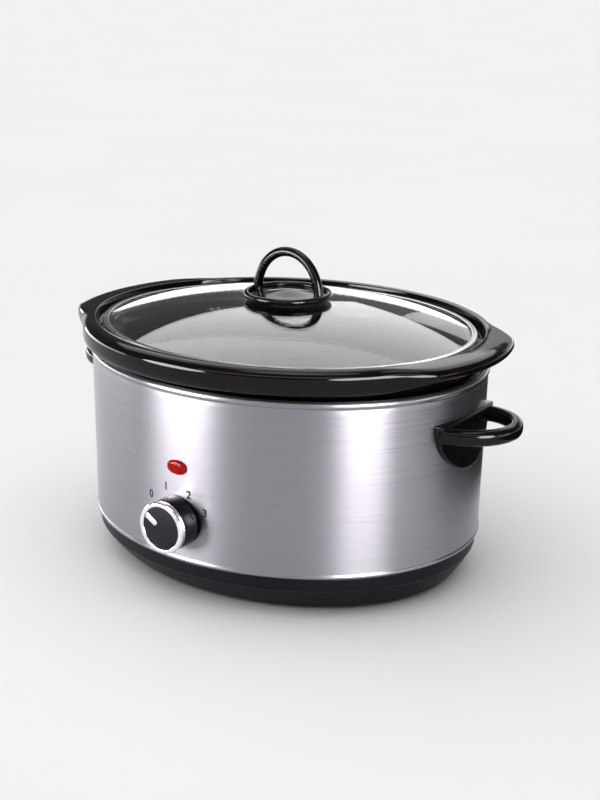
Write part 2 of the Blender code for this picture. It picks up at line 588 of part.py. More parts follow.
def build_control(plastic, gloss, chrome, charcoal, red, glass, fastener, cooker):
    front = -HOUSING_HALF_WIDTH
    axis = make_empty("knob_axis", (0, front, KNOB_HEIGHT), (math.radians(90), 0, 0), cooker)
    case_front = -STEEL_SHEET - 0.8 * MM
    case_rear = -15.4 * MM
    switch = block(
        "rotary_switch",
        (25 * MM, 24 * MM, case_front - case_rear),
        (0, 0, (case_front + case_rear) / 2),
        plastic,
        axis,
        bevel=0.8 * MM,
    )
    collar = [(COLLAR_RADIUS, case_front - 3 * MM), (COLLAR_RADIUS, 3.2 * MM)]
    combine(switch, turned("add_collar", collar, None, axis, segments=16), "UNION")
    tab_y, tab_z = switch_tab_place()
    for x in (-7 * MM, 7 * MM):
        tab = block(
            f"add_tab_{'left' if x < 0 else 'right'}",
            (5 * MM, KNOB_HEIGHT - 8 * MM - tab_z, 1.0 * MM),
            (x, (tab_z - 8 * MM - KNOB_HEIGHT) / 2, front - tab_y),
            None,
            axis,
        )
        combine(switch, tab, "UNION")
    bore_radius = SHAFT_RADIUS + CLEARANCE
    bore(switch, "cut_shaft", bore_radius, (0, 0, case_rear + 4 * MM), (0, 0, 9 * MM), axis, segments=16)
    nut_low, nut_high = CLEARANCE, 2.6 * MM
    hole = COLLAR_RADIUS + CLEARANCE
    nut = [(hole, nut_low), (7.4 * MM, nut_low), (7.4 * MM, nut_high), (hole, nut_high)]
    turned("switch_nut", nut, fastener, axis, segments=12, hoop=True)

    ring_front = KNOB_PROTRUSION
    ring_back = ring_front - KNOB_RING_DEPTH
    ring_inner = KNOB_RING_RADIUS - KNOB_RING_WIDTH
    seat = ring_back - CLEARANCE
    boss_front = ring_front - 2.4 * MM
    face_radius = ring_inner - CLEARANCE
    shaft_front = seat - 3 * MM
    shaft = [(SHAFT_RADIUS, case_rear + 4 * MM + CLEARANCE), (SHAFT_RADIUS, shaft_front)]
    turned("switch_shaft", shaft, fastener, axis, segments=16)
    hub = SHAFT_RADIUS + CLEARANCE
    knob = [
        (hub, shaft_front + CLEARANCE),
        (hub, 3.8 * MM),
        (hub + 2.6 * MM, 3.8 * MM),
        (hub + 2.6 * MM, seat - 4.0 * MM),
        (KNOB_RING_RADIUS - 3.4 * MM, seat - 5.0 * MM),
        (KNOB_RING_RADIUS - 2.4 * MM, 1.8 * MM),
        (KNOB_RING_RADIUS - 0.2 * MM, 1.8 * MM),
        (KNOB_RING_RADIUS - 0.7 * MM, seat),
        (face_radius, seat),
        (face_radius, boss_front),
    ]
    turned("control_knob", knob, gloss, axis, segments=24)
    ring = [
        (ring_inner, ring_back),
        (KNOB_RING_RADIUS - 0.4 * MM, ring_back),
        (KNOB_RING_RADIUS, ring_back + 0.8 * MM),
        (KNOB_RING_RADIUS, ring_front - 1.4 * MM),
        (KNOB_RING_RADIUS - 1.0 * MM, ring_front - 0.2 * MM),
        (ring_inner + 0.9 * MM, ring_front),
        (ring_inner, ring_front - 0.6 * MM),
    ]
    turned("knob_ring", ring, chrome, axis, segments=24, hoop=True)
    face_back = boss_front + CLEARANCE
    face = [
        (face_radius, face_back),
        (face_radius, face_back + 0.9 * MM),
        (face_radius - 0.4 * MM, face_back + 1.1 * MM),
    ]
    turned("knob_face", face, charcoal, axis, segments=24)

    pointer_low = face_back + 1.1 * MM + CLEARANCE
    half = 2.2 * MM
    reach, inner_end = face_radius - 0.6 * MM, 6.6 * MM
    outline = [(reach, -half), (reach, half)]
    outline += arc((inner_end, 0), half, 90, 270, 6)
    rings = [[Vector((x, y, z)) for x, y in outline] for z in (pointer_low, pointer_low + 0.5 * MM)]
    finish_object("knob_pointer", loft(rings), chrome, axis, rotation=(0, 0, OFF_ANGLE))

    def lens_ring(width, height, out):
        outline = rounded_outline(width, height, 16, power=LENS_POWER)
        return [Vector((x, front - out, LENS_HEIGHT + z)) for x, z in outline]

    stem_back = -7.0 * MM
    rings = [
        lens_ring(*LENS_STEM, stem_back),
        lens_ring(*LENS_STEM, CLEARANCE),
        lens_ring(*LENS_FLANGE, CLEARANCE),
        lens_ring(*LENS_FLANGE, 1.4 * MM),
        lens_ring(0.9 * LENS_FLANGE[0], 0.88 * LENS_FLANGE[1], 2.4 * MM),
        lens_ring(0.58 * LENS_FLANGE[0], 0.54 * LENS_FLANGE[1], 2.9 * MM),
    ]
    lens = finish_object("indicator_lens", loft(rings), red, cooker)
    lamp_radius = 2.4 * MM
    start, end = (0, front - stem_back + 1 * MM, LENS_HEIGHT), (0, front + CLEARANCE, LENS_HEIGHT)
    bore(lens, "cut_lamp", lamp_radius + CLEARANCE, start, end, cooker, segments=12)
    tip_radius = 1.2 * MM
    lamp = [
        (tip_radius, -8.4 * MM),
        (lamp_radius, -7.8 * MM),
        (lamp_radius, -2.2 * MM),
        (tip_radius, -1.0 * MM),
    ]
    turned("neon_lamp", lamp, glass, cooker, (0, front, LENS_HEIGHT), (math.radians(90), 0, 0), segments=12)
    rings = [
        lens_ring(width, height, -STEEL_SHEET - depth)
        for width, height, depth in (
            (12.6 * MM, 8.6 * MM, 0.6 * MM),
            (17 * MM, 12 * MM, 0.6 * MM),
            (17 * MM, 12 * MM, 1.4 * MM),
            (12.6 * MM, 8.6 * MM, 1.4 * MM),
        )
    ]
    finish_object("lens_clip", loft(rings, hoop=True), fastener, cooker)


def handle_screw_place(side, y):
    """Where a side handle's screw crosses the housing wall, and the wall's outward normal there."""
    normal = housing_normal(y)
    place = Vector((side * housing_x(y), y, HANDLE_TOP - LOOP_DROP))
    return place, Vector((side * normal.x, normal.y, 0))


def build_side_handle(end, side, gloss, fastener, cooker):
    radius = SIDE_HANDLE_PLATE_RADIUS
    back, front, ledge = CLEARANCE, PLATE_THICKNESS, PLATE_THICKNESS + PLATE_LEDGE
    rows = []
    for a in map(math.radians, (82, 66, 50, 34, 18)):
        rows.append((radius * math.cos(a), HANDLE_TOP - radius * math.sin(a), front))
    for below_top, thick in ((4.4 * MM, front), (3.2 * MM, ledge), (0.0, ledge)):
        rows.append((radius, HANDLE_TOP - below_top, thick))
    columns = 8
    rings = []
    for half, z, thick in rows:
        ys = [half * (2 * i / columns - 1) for i in range(columns + 1)]
        outer = [Vector((side * housing_x(y, thick), y, z)) for y in ys]
        inner = [Vector((side * housing_x(y, back), y, z)) for y in reversed(ys)]
        rings.append(outer + inner)
    handle = finish_object(f"side_handle_{end}", loft(rings), gloss, cooker)

    root_x = housing_x(LOOP_ROOT_Y, 2.0 * MM)
    tip_x = HOUSING_HALF_LENGTH + SIDE_HANDLE_REACH - LOOP_WIDTH / 2
    root_z = HANDLE_TOP - LOOP_DROP
    path = []
    steps = 12
    for i in range(steps + 1):
        a = math.pi * (i / steps - 0.5)
        x = root_x + (tip_x - root_x) * math.cos(a)
        path.append(Vector((side * x, LOOP_ROOT_Y * math.sin(a), root_z + LOOP_RISE * math.cos(a))))
    rings = sweep(path, rounded_outline(LOOP_WIDTH, LOOP_DEPTH, 12, power=2.6), Vector((0, 0, 1)))
    combine(handle, finish_object(f"add_loop_{end}", loft(rings), None, cooker), "UNION")
    for y in (-LOOP_ROOT_Y, LOOP_ROOT_Y):
        where = "front" if y < 0 else "rear"
        place, normal = handle_screw_place(side, y)
        pilot = HANDLE_SCREW_RADIUS + CLEARANCE
        pilot_ends = (place - normal * 2 * MM, place + normal * 8 * MM)
        bore(handle, f"cut_pilot_{end}_{where}", pilot, *pilot_ends, cooker, segments=13)
        turn = normal.to_track_quat("Z", "Y").to_euler()
        facet_sag = HOUSING_HALF_LENGTH * (1 - math.cos(math.pi / OVAL_SEGMENTS))
        wall = -STEEL_SHEET - CLEARANCE - facet_sag
        under = wall - 0.8 * MM
        washer = [(pilot, under), (4.6 * MM, under), (4.6 * MM, wall), (pilot, wall)]
        name = f"handle_washer_{end}_{where}"
        turned(name, washer, fastener, cooker, place, turn, segments=12, hoop=True)
        head = under - CLEARANCE
        screw = [
            (2.0 * MM, head - 2.0 * MM),
            (3.2 * MM, head - 1.4 * MM),
            (3.2 * MM, head),
            (HANDLE_SCREW_RADIUS, head),
            (HANDLE_SCREW_RADIUS, 7.6 * MM),
        ]
        turned(f"handle_screw_{end}_{where}", screw, fastener, cooker, place, turn, segments=12)


def crock_ring(half_length, half_width, z, ear=0.0, lift=0.0):
    """A crock ring whose two ends may reach out by ear, and rise by lift, to form the rim's lifting ears."""
    full, none = EAR_FULL * CROCK_RIM[1], EAR_NONE * CROCK_RIM[1]
    ring = []
    for i in range(OVAL_SEGMENTS):
        a = 2 * math.pi * i / OVAL_SEGMENTS
        x, y = half_length * math.cos(a), half_width * math.sin(a)
        normal = Vector((math.cos(a) / half_length, math.sin(a) / half_width, 0)).normalized()
        share = ease((none - abs(y)) / (none - full))
        ring.append(Vector((x, y, z + lift * share)) + normal * ear * share)
    return ring


def build_crock(glaze, cooker):
    draft = CROCK_INSET + CROCK_DRAFT
    bend = CROCK_BOTTOM + CROCK_CORNER
    corner = -draft - CROCK_CORNER
    rings = [grown(HOUSING, grow, z) for grow, z in arc((corner, bend), CROCK_CORNER, -90, 0, 4)]
    rim = [CROCK_RIM[0], CROCK_RIM[1]]
    lip = HOUSING_TOP + 6.0 * MM
    ear, lift = EAR_REACH, 8.0 * MM
    inner_wall = -draft - CROCK_WALL
    rings += [
        grown(HOUSING, -CROCK_INSET, CROCK_SEAT),
        grown(HOUSING, -6.0 * MM, CROCK_SEAT),
        grown(HOUSING, -3.0 * MM, lip + 0.5 * MM),
        crock_ring(rim[0] - 5.0 * MM, rim[1] - 5.0 * MM, lip + 0.5 * MM, ear * 0.7, lift),
        crock_ring(rim[0] - 2.0 * MM, rim[1] - 2.0 * MM, lip, ear, lift),
        crock_ring(rim[0] - 0.4 * MM, rim[1] - 0.4 * MM, lip + 2.0 * MM, ear, lift),
        crock_ring(rim[0], rim[1], RIM_TOP - 6.6 * MM, ear),
        crock_ring(rim[0] - 1.4 * MM, rim[1] - 1.4 * MM, RIM_TOP - 2.9 * MM, ear),
        crock_ring(rim[0] - 3.8 * MM, rim[1] - 3.8 * MM, RIM_TOP - 0.8 * MM, ear),
        crock_ring(rim[0] - 6.8 * MM, rim[1] - 7.0 * MM, RIM_TOP, ear),
        oval_ring(LID[0] + 6.0 * MM, LID[1] + 5.0 * MM, RIM_TOP - 0.5 * MM),
        oval_ring(LID[0] + 4.8 * MM, LID[1] + 3.8 * MM, LID_SEAT + 1.4 * MM),
        oval_ring(LID[0] + 3.6 * MM, LID[1] + 2.8 * MM, LID_SEAT),
        oval_ring(LID[0] - 8.4 * MM, LID[1] - 8.4 * MM, LID_SEAT),
        oval_ring(LID[0] - 11.0 * MM, LID[1] - 11.4 * MM, LID_SEAT - 1.2 * MM),
        grown(HOUSING, inner_wall + 4.6 * MM, LID_SEAT - 8.0 * MM),
        grown(HOUSING, inner_wall + 3.0 * MM, CROCK_SEAT),
    ]
    inner_bend = arc((corner, bend), CROCK_CORNER - CROCK_WALL, 0, -90, 3)
    rings += [grown(HOUSING, grow, z) for grow, z in inner_bend]
    finish_object("crock", loft(rings), glaze, cooker)


def dome_height(share):
    """Height of the glass's upper face over its edge, at this share of the lid's half sizes."""
    return LID_DOME_RISE * (1 - share**DOME_POWER)


def build_lid(glass, steel, gloss, silicone, fastener, cooker):
    inside = LID_RIM_WALL + CLEARANCE
    dome = (LID[0] - LID_RIM_WIDTH - CLEARANCE, LID[1] - LID_RIM_WIDTH - CLEARANCE)
    hole = LID_SCREW_RADIUS + CLEARANCE
    shares = (1.0, 0.9, 0.74, 0.5, 0.24)
    profile = [(dome[0] * k, dome[1] * k, GLASS_EDGE_TOP + dome_height(k)) for k in shares]
    profile.append((hole, hole, DOME_TOP))
    rings = [grown(LID, -inside, GLASS_EDGE_TOP - LID_GLASS), grown(LID, -inside, GLASS_EDGE_TOP)]
    rings += [oval_ring(x, y, z) for x, y, z in profile]
    rings += [oval_ring(x, y, z - LID_GLASS) for x, y, z in reversed(profile)]
    finish_object("lid_glass", loft(rings, hoop=True), glass, cooker)

    low, high, width = LID_RIM_BOTTOM, LID_RIM_TOP, LID_RIM_WIDTH
    profile = [
        (-width, low),
        (-0.8 * MM, low),
        (0.0, low + 0.9 * MM),
        (0.0, high - 0.9 * MM),
        (-0.8 * MM, high),
        (-width, high),
        (-width, high - LID_RIM_LIP),
        (-LID_RIM_WALL, high - LID_RIM_LIP),
        (-LID_RIM_WALL, low + LID_RIM_LIP),
        (-width, low + LID_RIM_LIP),
    ]
    finish_object("lid_rim", loft([grown(LID, grow, z) for grow, z in profile], hoop=True), steel, cooker)

    gasket_low = DOME_TOP + CLEARANCE
    gasket_high = gasket_low + GASKET_THICKNESS
    gasket = [(hole, gasket_low), (12 * MM, gasket_low), (12 * MM, gasket_high), (hole, gasket_high)]
    turned("lid_gasket", gasket, silicone, cooker, segments=20, hoop=True)

    dish_mid = DISH_BOTTOM + DISH_RIM_RADIUS
    ring_centre = DISH_RADIUS - DISH_RIM_RADIUS
    floor_top = DISH_BOTTOM + 2.4 * MM
    pilot_top = DISH_BOTTOM + 3.6 * MM
    dish = [(hole, pilot_top), (hole, DISH_BOTTOM)]
    dish += arc((ring_centre, dish_mid), DISH_RIM_RADIUS, -90, 200, 6)
    dish += [(18.0 * MM, floor_top + 0.4 * MM), (5.0 * MM, pilot_top + 1.4 * MM)]
    handle = turned("lid_handle", dish, gloss, cooker, segments=28)
    spread = ring_centre - ARCH_INSET
    foot_z = DISH_BOTTOM + 2.2 * MM
    top_z = LID_HANDLE_TOP - ARCH_RADIUS
    path = []
    steps = 14
    for i in range(steps + 1):
        a = math.pi * i / steps
        path.append(Vector((spread * math.cos(a), 0, foot_z + (top_z - foot_z) * math.sin(a))))
    rings = sweep(path, rounded_outline(2 * ARCH_RADIUS, 2 * ARCH_RADIUS, 10, power=2.0), Vector((0, 1, 0)))
    combine(handle, finish_object("add_arch", loft(rings), None, cooker), "UNION")

    washer_high = DOME_TOP - LID_GLASS - CLEARANCE
    washer_low = washer_high - 1.0 * MM
    washer = [(hole, washer_low), (11 * MM, washer_low), (11 * MM, washer_high), (hole, washer_high)]
    turned("lid_washer", washer, silicone, cooker, segments=20, hoop=True)
    head = washer_low - CLEARANCE
    screw = [
        (3.0 * MM, head - 2.4 * MM),
        (4.6 * MM, head - 1.4 * MM),
        (4.6 * MM, head),
        (LID_SCREW_RADIUS, head),
        (LID_SCREW_RADIUS, pilot_top),
    ]
    turned("lid_screw", screw, fastener, cooker, segments=16)


def main():
    clear_scene()
    steel = make_material("brushed_steel", (0.62, 0.60, 0.63), 0.30, 1.0)
    chrome = make_material("chrome", (0.88, 0.88, 0.90), 0.08, 1.0)
    gloss = make_material("gloss_black_plastic", (0.012, 0.011, 0.014), 0.12)
    matte = make_material("satin_black_plastic", (0.022, 0.021, 0.028), 0.42)
    charcoal = make_material("charcoal_plastic", (0.035, 0.033, 0.042), 0.50)
    glaze = make_material("black_glaze", (0.014, 0.010, 0.012), 0.07)
    glass = make_material("clear_glass", (0.95, 0.97, 0.97), 0.03, 0.0, 1.0)
    red = make_material("red_lens", (0.62, 0.02, 0.015), 0.18)
    rubber = make_material("rubber", (0.03, 0.03, 0.03), 0.80)
    silicone = make_material("silicone", (0.70, 0.70, 0.70), 0.60)
    galvanised = make_material("galvanised_sheet", (0.55, 0.56, 0.57), 0.38, 1.0)
    mica = make_material("heater_foil", (0.50, 0.46, 0.38), 0.45, 0.6)
    fibre = make_material("glass_fibre", (0.80, 0.78, 0.70), 0.95)
    sleeve = make_material("lead_sleeve", (0.75, 0.74, 0.70), 0.70)
    fastener = make_material("zinc_fastener", (0.66, 0.66, 0.64), 0.32, 1.0)
    cooker = make_empty("cooker", (0, BODY_Y, 0))
    build_housing(steel, cooker)
    build_base(matte, rubber, cooker)
    build_heating(galvanised, mica, fibre, fastener, cooker)
    build_wiring(matte, sleeve, glass, fastener, cooker)
    build_control(matte, gloss, chrome, charcoal, red, glass, fastener, cooker)
    build_side_handle("left", -1, gloss, fastener, cooker)
    build_side_handle("right", 1, gloss, fastener, cooker)
    build_crock(glaze, cooker)
    build_lid(glass, steel, gloss, silicone, fastener, cooker)


main()
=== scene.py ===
"""Looks of the oval slow cooker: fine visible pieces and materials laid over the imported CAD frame."""

from math import copysign, cos, exp, pi, radians, sin, sqrt

import bmesh
import bpy
import numpy as np
from mathutils import Matrix, Vector


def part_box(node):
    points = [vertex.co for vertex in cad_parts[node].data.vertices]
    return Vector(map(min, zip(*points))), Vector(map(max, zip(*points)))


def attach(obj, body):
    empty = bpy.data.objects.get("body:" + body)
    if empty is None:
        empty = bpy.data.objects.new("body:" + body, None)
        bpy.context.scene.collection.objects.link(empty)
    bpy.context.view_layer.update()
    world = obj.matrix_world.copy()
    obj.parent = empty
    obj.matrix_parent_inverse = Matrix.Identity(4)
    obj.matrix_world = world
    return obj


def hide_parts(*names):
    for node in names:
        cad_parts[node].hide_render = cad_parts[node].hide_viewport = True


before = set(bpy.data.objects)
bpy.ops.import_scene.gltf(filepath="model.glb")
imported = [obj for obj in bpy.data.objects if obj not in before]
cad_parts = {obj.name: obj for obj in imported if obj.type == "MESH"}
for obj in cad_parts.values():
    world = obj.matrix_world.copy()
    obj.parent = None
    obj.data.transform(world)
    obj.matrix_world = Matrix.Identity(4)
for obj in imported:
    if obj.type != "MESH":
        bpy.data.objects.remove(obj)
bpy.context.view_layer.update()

MM = 0.001
UP = Vector((0, 0, 1))

# Sizes that the CAD boxes don't give
STEEL_SHEET = 0.8 * MM
BEAD_RADIUS = 2.8 * MM
BEAD_PROUD = 1.2 * MM
CLEARANCE = 0.3 * MM
FLANGE_WIDTH = 8 * MM
CURL_WIDTH = 0.7 * MM
WELL_INSET = 16 * MM
WELL_CORNER = 39 * MM
CROCK_INSET = 21 * MM
CROCK_DRAFT = 2 * MM
CROCK_CORNER = 36 * MM
CROCK_WALL = 9 * MM
EAR_REACH = 13.4 * MM
EAR_FULL = 0.32
EAR_NONE = 0.58
EAR_LIFT = 8 * MM
EAR_FALL = 0.8 * MM
LID_GLASS = 3.4 * MM
LID_RIM_WALL = 0.8 * MM
LID_RIM_LIP = 0.6 * MM
LID_RIM_WIDTH = 4.8 * MM
DOME_POWER = 2.4
DISH_RIM_RADIUS = 2.4 * MM
ARCH_RADIUS = 3.7 * MM
ARCH_INSET = 4 * MM
LID_SCREW_RADIUS = 2.4 * MM
OFF_ANGLE = radians(148)
KNOB_RING_WIDTH = 3.8 * MM
KNOB_RING_DEPTH = 5.2 * MM
SHAFT_RADIUS = 3 * MM
LOOP_WIDTH = 10 * MM
LOOP_DEPTH = 12 * MM
LOOP_ROOT_Y = 34.5 * MM
LOOP_RISE = 1 * MM
LOOP_DROP = 8 * MM
PLATE_THICKNESS = 3.2 * MM
PLATE_LEDGE = 3 * MM
HANDLE_SCREW_RADIUS = 1.6 * MM
BOLT_RADIUS = 2.5 * MM
SWITCH_HOLE_RADIUS = 5 * MM
GLAND_HOLE_RADIUS = 6.3 * MM
GLAND_BORE = 3.6 * MM
GLAND_NECK = 6 * MM
GLAND_FLANGE = 9 * MM
GLAND_NUT = 7.4 * MM
FOOT_HOLE_RADIUS = 3.5 * MM
LAMP_SOCKET_RADIUS = 2.7 * MM
VENT_SLOT = (5 * MM, 24 * MM, 12 * MM)
VENT_PITCH = 16 * MM
VENT_ROWS = (-48 * MM, 42 * MM)
NUMERAL_HEIGHT = 8.6 * MM
NUMERAL_BOLDNESS = 0.26 * MM
INK_THICKNESS = 0.02 * MM
INK_PROUD = 0.05 * MM
NUMERAL_PLACES = {"0": (-27.0, 14.5), "1": (-11.3, 24.6), "2": (10.3, 22.2), "3": (24.2, 10.4)}
FEET = ("foot_1", "foot_2", "foot_3", "foot_4")

OVAL_SEGMENTS = 192
ROUND_SEGMENTS = 96
SHARP = radians(42)
SMALLEST_RADIUS = 0.02 * MM

# Stage, azimuth and elevation in degrees and lengths in metres
CAMERA_AZIMUTH = 34.38
CAMERA_ELEVATION = 21.072
CAMERA_ROLL = 0.807
CAMERA_DISTANCE = 1.118066
CAMERA_TARGET_HEIGHT = 0.0462393
CAMERA_LENS = 60.236
CAMERA_SHIFT = (0.018589, 0.113024)
LIGHT_TARGET_HEIGHT = 0.12
SOFTBOXES = (
    # name, azimuth, elevation, distance, width, height, radiance, and any other shape and roll
    ("front_left_box", -32, 8, 2.1, 1.32, 0.95, 22.0, "ELLIPSE"),
    ("front_right_box", 62, 8, 2.1, 1.2, 0.95, 21.0, "ELLIPSE"),
    ("front_high_box", 20, 32, 2.3, 3.4, 0.5, 2.4),
    ("left_side_box", -86, -5, 2.1, 1.9, 0.8, 7.0),
    ("right_side_box", 100, -2, 2.1, 1.1, 0.8, 3.6),
    ("overhead_box", 30, 80, 1.9, 1.3, 0.8, 3.0, "ELLIPSE"),
    ("rear_overhead_box", -147, 51, 2.6, 3.1, 2.7, 1.7, "RECTANGLE", 42),
    ("rear_low_box", -153, 2, 2.6, 2.4, 0.60, 1.0),
    ("rear_fill_box", -176, 8, 2.6, 1.7, 1.0, 0.75),
)
SKY_STOPS = ((0.0, 0.92), (0.085, 0.90), (0.12, 0.10), (0.60, 0.12), (1.0, 0.20))
BACKDROP = (0.92, 0.92, 0.93, 1)
CARD_AZIMUTH = 150
CARD_DISTANCE = 0.98
CARD_HALF = 0.7


def half_size(node):
    low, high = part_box(node)
    return (high - low) / 2


def middle(node):
    low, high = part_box(node)
    return (low + high) / 2


HOUSING_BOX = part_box("outer_housing")
BODY_Y = middle("outer_housing").y
HOUSING = tuple(half - BEAD_PROUD for half in half_size("outer_housing").xy)
BASE_HEIGHT = HOUSING_BOX[0].z
HOUSING_TOP = HOUSING_BOX[1].z
BEAD_CENTRE = HOUSING_TOP - BEAD_RADIUS
WALL_Y = BODY_Y - HOUSING[1]
CROCK_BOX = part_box("crock")
CROCK_RIM = (half_size("crock").x - EAR_REACH, half_size("crock").y)
RIM_TOP = CROCK_BOX[1].z
CROCK_BOTTOM = CROCK_BOX[0].z
WELL_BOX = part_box("heating_well")
CROCK_SEAT = WELL_BOX[1].z + CLEARANCE
LID = tuple(half_size("lid_rim").xy)
LID_RIM_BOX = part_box("lid_rim")
LID_SEAT = LID_RIM_BOX[0].z - CLEARANCE
DOME_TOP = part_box("lid_glass")[1].z
GLASS_EDGE_TOP = LID_RIM_BOX[1].z - LID_RIM_LIP - CLEARANCE
DISH_RADIUS = half_size("lid_handle").x
DISH_BOTTOM, LID_HANDLE_TOP = (corner.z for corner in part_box("lid_handle"))
HANDLE_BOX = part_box("side_handle_right")
HANDLE_TOP = HANDLE_BOX[1].z
HANDLE_TIP = HANDLE_BOX[1].x
PLATE_RADIUS = HANDLE_TOP - HANDLE_BOX[0].z
KNOB_HEIGHT = middle("knob_ring").z
KNOB_FRONT = WALL_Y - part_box("knob_ring")[0].y
KNOB_RING_RADIUS = half_size("knob_ring").x
LENS_HEIGHT = middle("indicator_lens").z
GLAND_HEIGHT = middle("cord_gland").z
BASE_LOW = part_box("base_tray")[0].z
KNOB_AXIS = Matrix.Translation((0, WALL_Y, KNOB_HEIGHT)) @ Matrix.Rotation(radians(90), 4, "X")
BODY = Matrix.Translation((0, BODY_Y, 0))


# Geometry helpers


def fillet(points, radius, closed=True, steps=4):
    """The outline with every corner turned into a short curve. A point may carry its own radius as a pair."""
    plain = [np.array(p[0] if isinstance(p[0], tuple) else p, float) for p in points]
    radii = [p[1] if isinstance(p[0], tuple) else radius for p in points]
    rounded = []
    for i, here in enumerate(plain):
        if not closed and i in (0, len(plain) - 1):
            rounded.append(here)
            continue
        before = plain[i - 1] - here
        after = plain[(i + 1) % len(plain)] - here
        start = here + before * min(radii[i] / np.linalg.norm(before), 0.48)
        end = here + after * min(radii[i] / np.linalg.norm(after), 0.48)
        for k in range(steps + 1):
            t = k / steps
            rounded.append((1 - t) ** 2 * start + 2 * t * (1 - t) * here + t**2 * end)
    return rounded


def arc(centre, radius, start, end, steps):
    """Points of an arc in a profile plane, angles in degrees, both ends included."""
    angles = [radians(start + (end - start) * i / steps) for i in range(steps + 1)]
    return [(centre[0] + radius * cos(a), centre[1] + radius * sin(a)) for a in angles]


def oval_ring(half_length, half_width, z, segments=OVAL_SEGMENTS):
    angles = (2 * pi * i / segments for i in range(segments))
    return [Vector((half_length * cos(a), half_width * sin(a), z)) for a in angles]


def loft(rings, hoop=False):
    """A bmesh through rings of equally many points: a hoop closes on itself, else both ends get caps."""
    bm = bmesh.new()
    loops = [[bm.verts.new(point) for point in ring] for ring in rings]
    pairs = list(zip(loops, loops[1:]))
    if hoop:
        pairs.append((loops[-1], loops[0]))
    for lower, upper in pairs:
        for i in range(len(lower)):
            j = (i + 1) % len(lower)
            bm.faces.new((lower[i], lower[j], upper[j], upper[i]))
    if not hoop:
        bm.faces.new(loops[0])
        bm.faces.new(loops[-1])
    return bm


def add(name, data):
    obj = bpy.data.objects.new(name, data)
    bpy.context.collection.objects.link(obj)
    return obj


def put(name, bm, material=None, matrix=None):
    """A finished bmesh as an object with its place in its mesh."""
    bmesh.ops.recalc_face_normals(bm, faces=bm.faces[:])
    if matrix is not None:
        bmesh.ops.transform(bm, matrix=matrix, verts=bm.verts[:])
    mesh = bpy.data.meshes.new(name)
    bm.to_mesh(mesh)
    bm.free()
    if material is not None:
        mesh.materials.append(material)
    mesh.shade_smooth()
    mesh.set_sharp_from_angle(angle=SHARP)
    return add(name, mesh)


def evaluated_mesh(obj):
    bpy.context.view_layer.update()
    graph = bpy.context.evaluated_depsgraph_get()
    return bpy.data.meshes.new_from_object(obj.evaluated_get(graph))


def combine(obj, cutters, operation):
    """Apply one Boolean after another, and drop the cutters."""
    for cutter in cutters:
        modifier = obj.modifiers.new("cut", "BOOLEAN")
        modifier.operation = operation
        modifier.solver = "EXACT"
        modifier.object = cutter
        mesh = evaluated_mesh(obj)
        obj.modifiers.clear()
        old, obj.data = obj.data, mesh
        bpy.data.meshes.remove(old)
        spent = cutter.data
        bpy.data.objects.remove(cutter, do_unlink=True)
        bpy.data.meshes.remove(spent)
    obj.data.shade_smooth()
    obj.data.set_sharp_from_angle(angle=SHARP)


def place(obj, body, slot, *nodes):
    """Put a piece on its body and in place of its CAD nodes; the slot is not used."""
    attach(obj, body)
    if nodes:
        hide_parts(*nodes)


def oval_profile(points):
    """Rings about the body's axis from (half length, half width, z) points."""
    return [oval_ring(x, y, z) for x, y, z in points]


def outset(oval, grow, *rest):
    """A point of an oval's profile, grown outwards, with whatever follows its two half sizes."""
    return (oval[0] + grow, oval[1] + grow, *rest)


def grown(profile, oval=HOUSING):
    """(half length, half width, z) points from (outset from the oval, z) points."""
    return [outset(oval, grow, z) for grow, z in profile]


def turned(name, profile, rounding, material, matrix, hoop=False, segments=ROUND_SEGMENTS, steps=3):
    """A piece turned about its matrix's Z axis from (radius, z) points, with its corners rounded."""
    rounded = fillet(profile, rounding, hoop, steps)
    sized = [(max(radius, SMALLEST_RADIUS), z) for radius, z in rounded]
    rings = [oval_ring(radius, radius, z, segments) for radius, z in sized]
    return put(name, loft(rings, hoop), material, matrix)


def pin(radius, start, end, segments=32):
    """A round cutter between two points."""
    start, end = Vector(start), Vector(end)
    turn = (end - start).to_track_quat("Z", "Y").to_matrix().to_4x4()
    rings = [oval_ring(radius, radius, z, segments) for z in (0, (end - start).length)]
    return put("cutter", loft(rings), matrix=Matrix.Translation(start) @ turn)


def rounded_outline(width, height, points, power=3.0):
    """A rounded rectangle around the origin, as (across, up) pairs."""
    outline = []
    for i in range(points):
        a = 2 * pi * i / points
        c, s = cos(a), sin(a)
        across = width / 2 * copysign(abs(c) ** (2 / power), c)
        up = height / 2 * copysign(abs(s) ** (2 / power), s)
        outline.append((across, up))
    return outline


def sweep(path, outline, up, swell=None):
    """Rings of an outline carried along a path; the outline's second axis keeps to up."""
    rings = []
    for i, point in enumerate(path):
        ahead = path[min(i + 1, len(path) - 1)]
        behind = path[max(i - 1, 0)]
        along = (ahead - behind).normalized()
        side = along.cross(up).normalized()
        lift = side.cross(along).normalized()
        size = swell[i] if swell else 1.0
        rings.append([point + side * u * size + lift * v * size for u, v in outline])
    return rings


def ease(value):
    value = min(max(value, 0.0), 1.0)
    return value * value * (3 - 2 * value)


def oval_normal(x, y, oval=HOUSING):
    return Vector((x / oval[0] ** 2, y / oval[1] ** 2, 0)).normalized()


def housing_x(y, grow=0.0):
    """X of the housing's right wall at this y from the body's middle."""
    return (HOUSING[0] + grow) * sqrt(1 - (y / (HOUSING[1] + grow)) ** 2)


def flare(path, reach, amount):
    """Sizes along a path that swell towards both of its ends."""
    run = [0.0]
    for a, b in zip(path, path[1:]):
        run.append(run[-1] + (b - a).length)
    return [1 + amount * exp(-min(s, run[-1] - s) / reach) for s in run]


# Material helpers


def fill_ramp(node, stops):
    """A ramp node's stops, from (position, red, green, blue) rows."""
    elements = node.color_ramp.elements
    while len(elements) < len(stops):
        elements.new(0.5)
    for element, (position, *rgb) in zip(elements, stops):
        element.position = position
        element.color = (*rgb, 1.0)


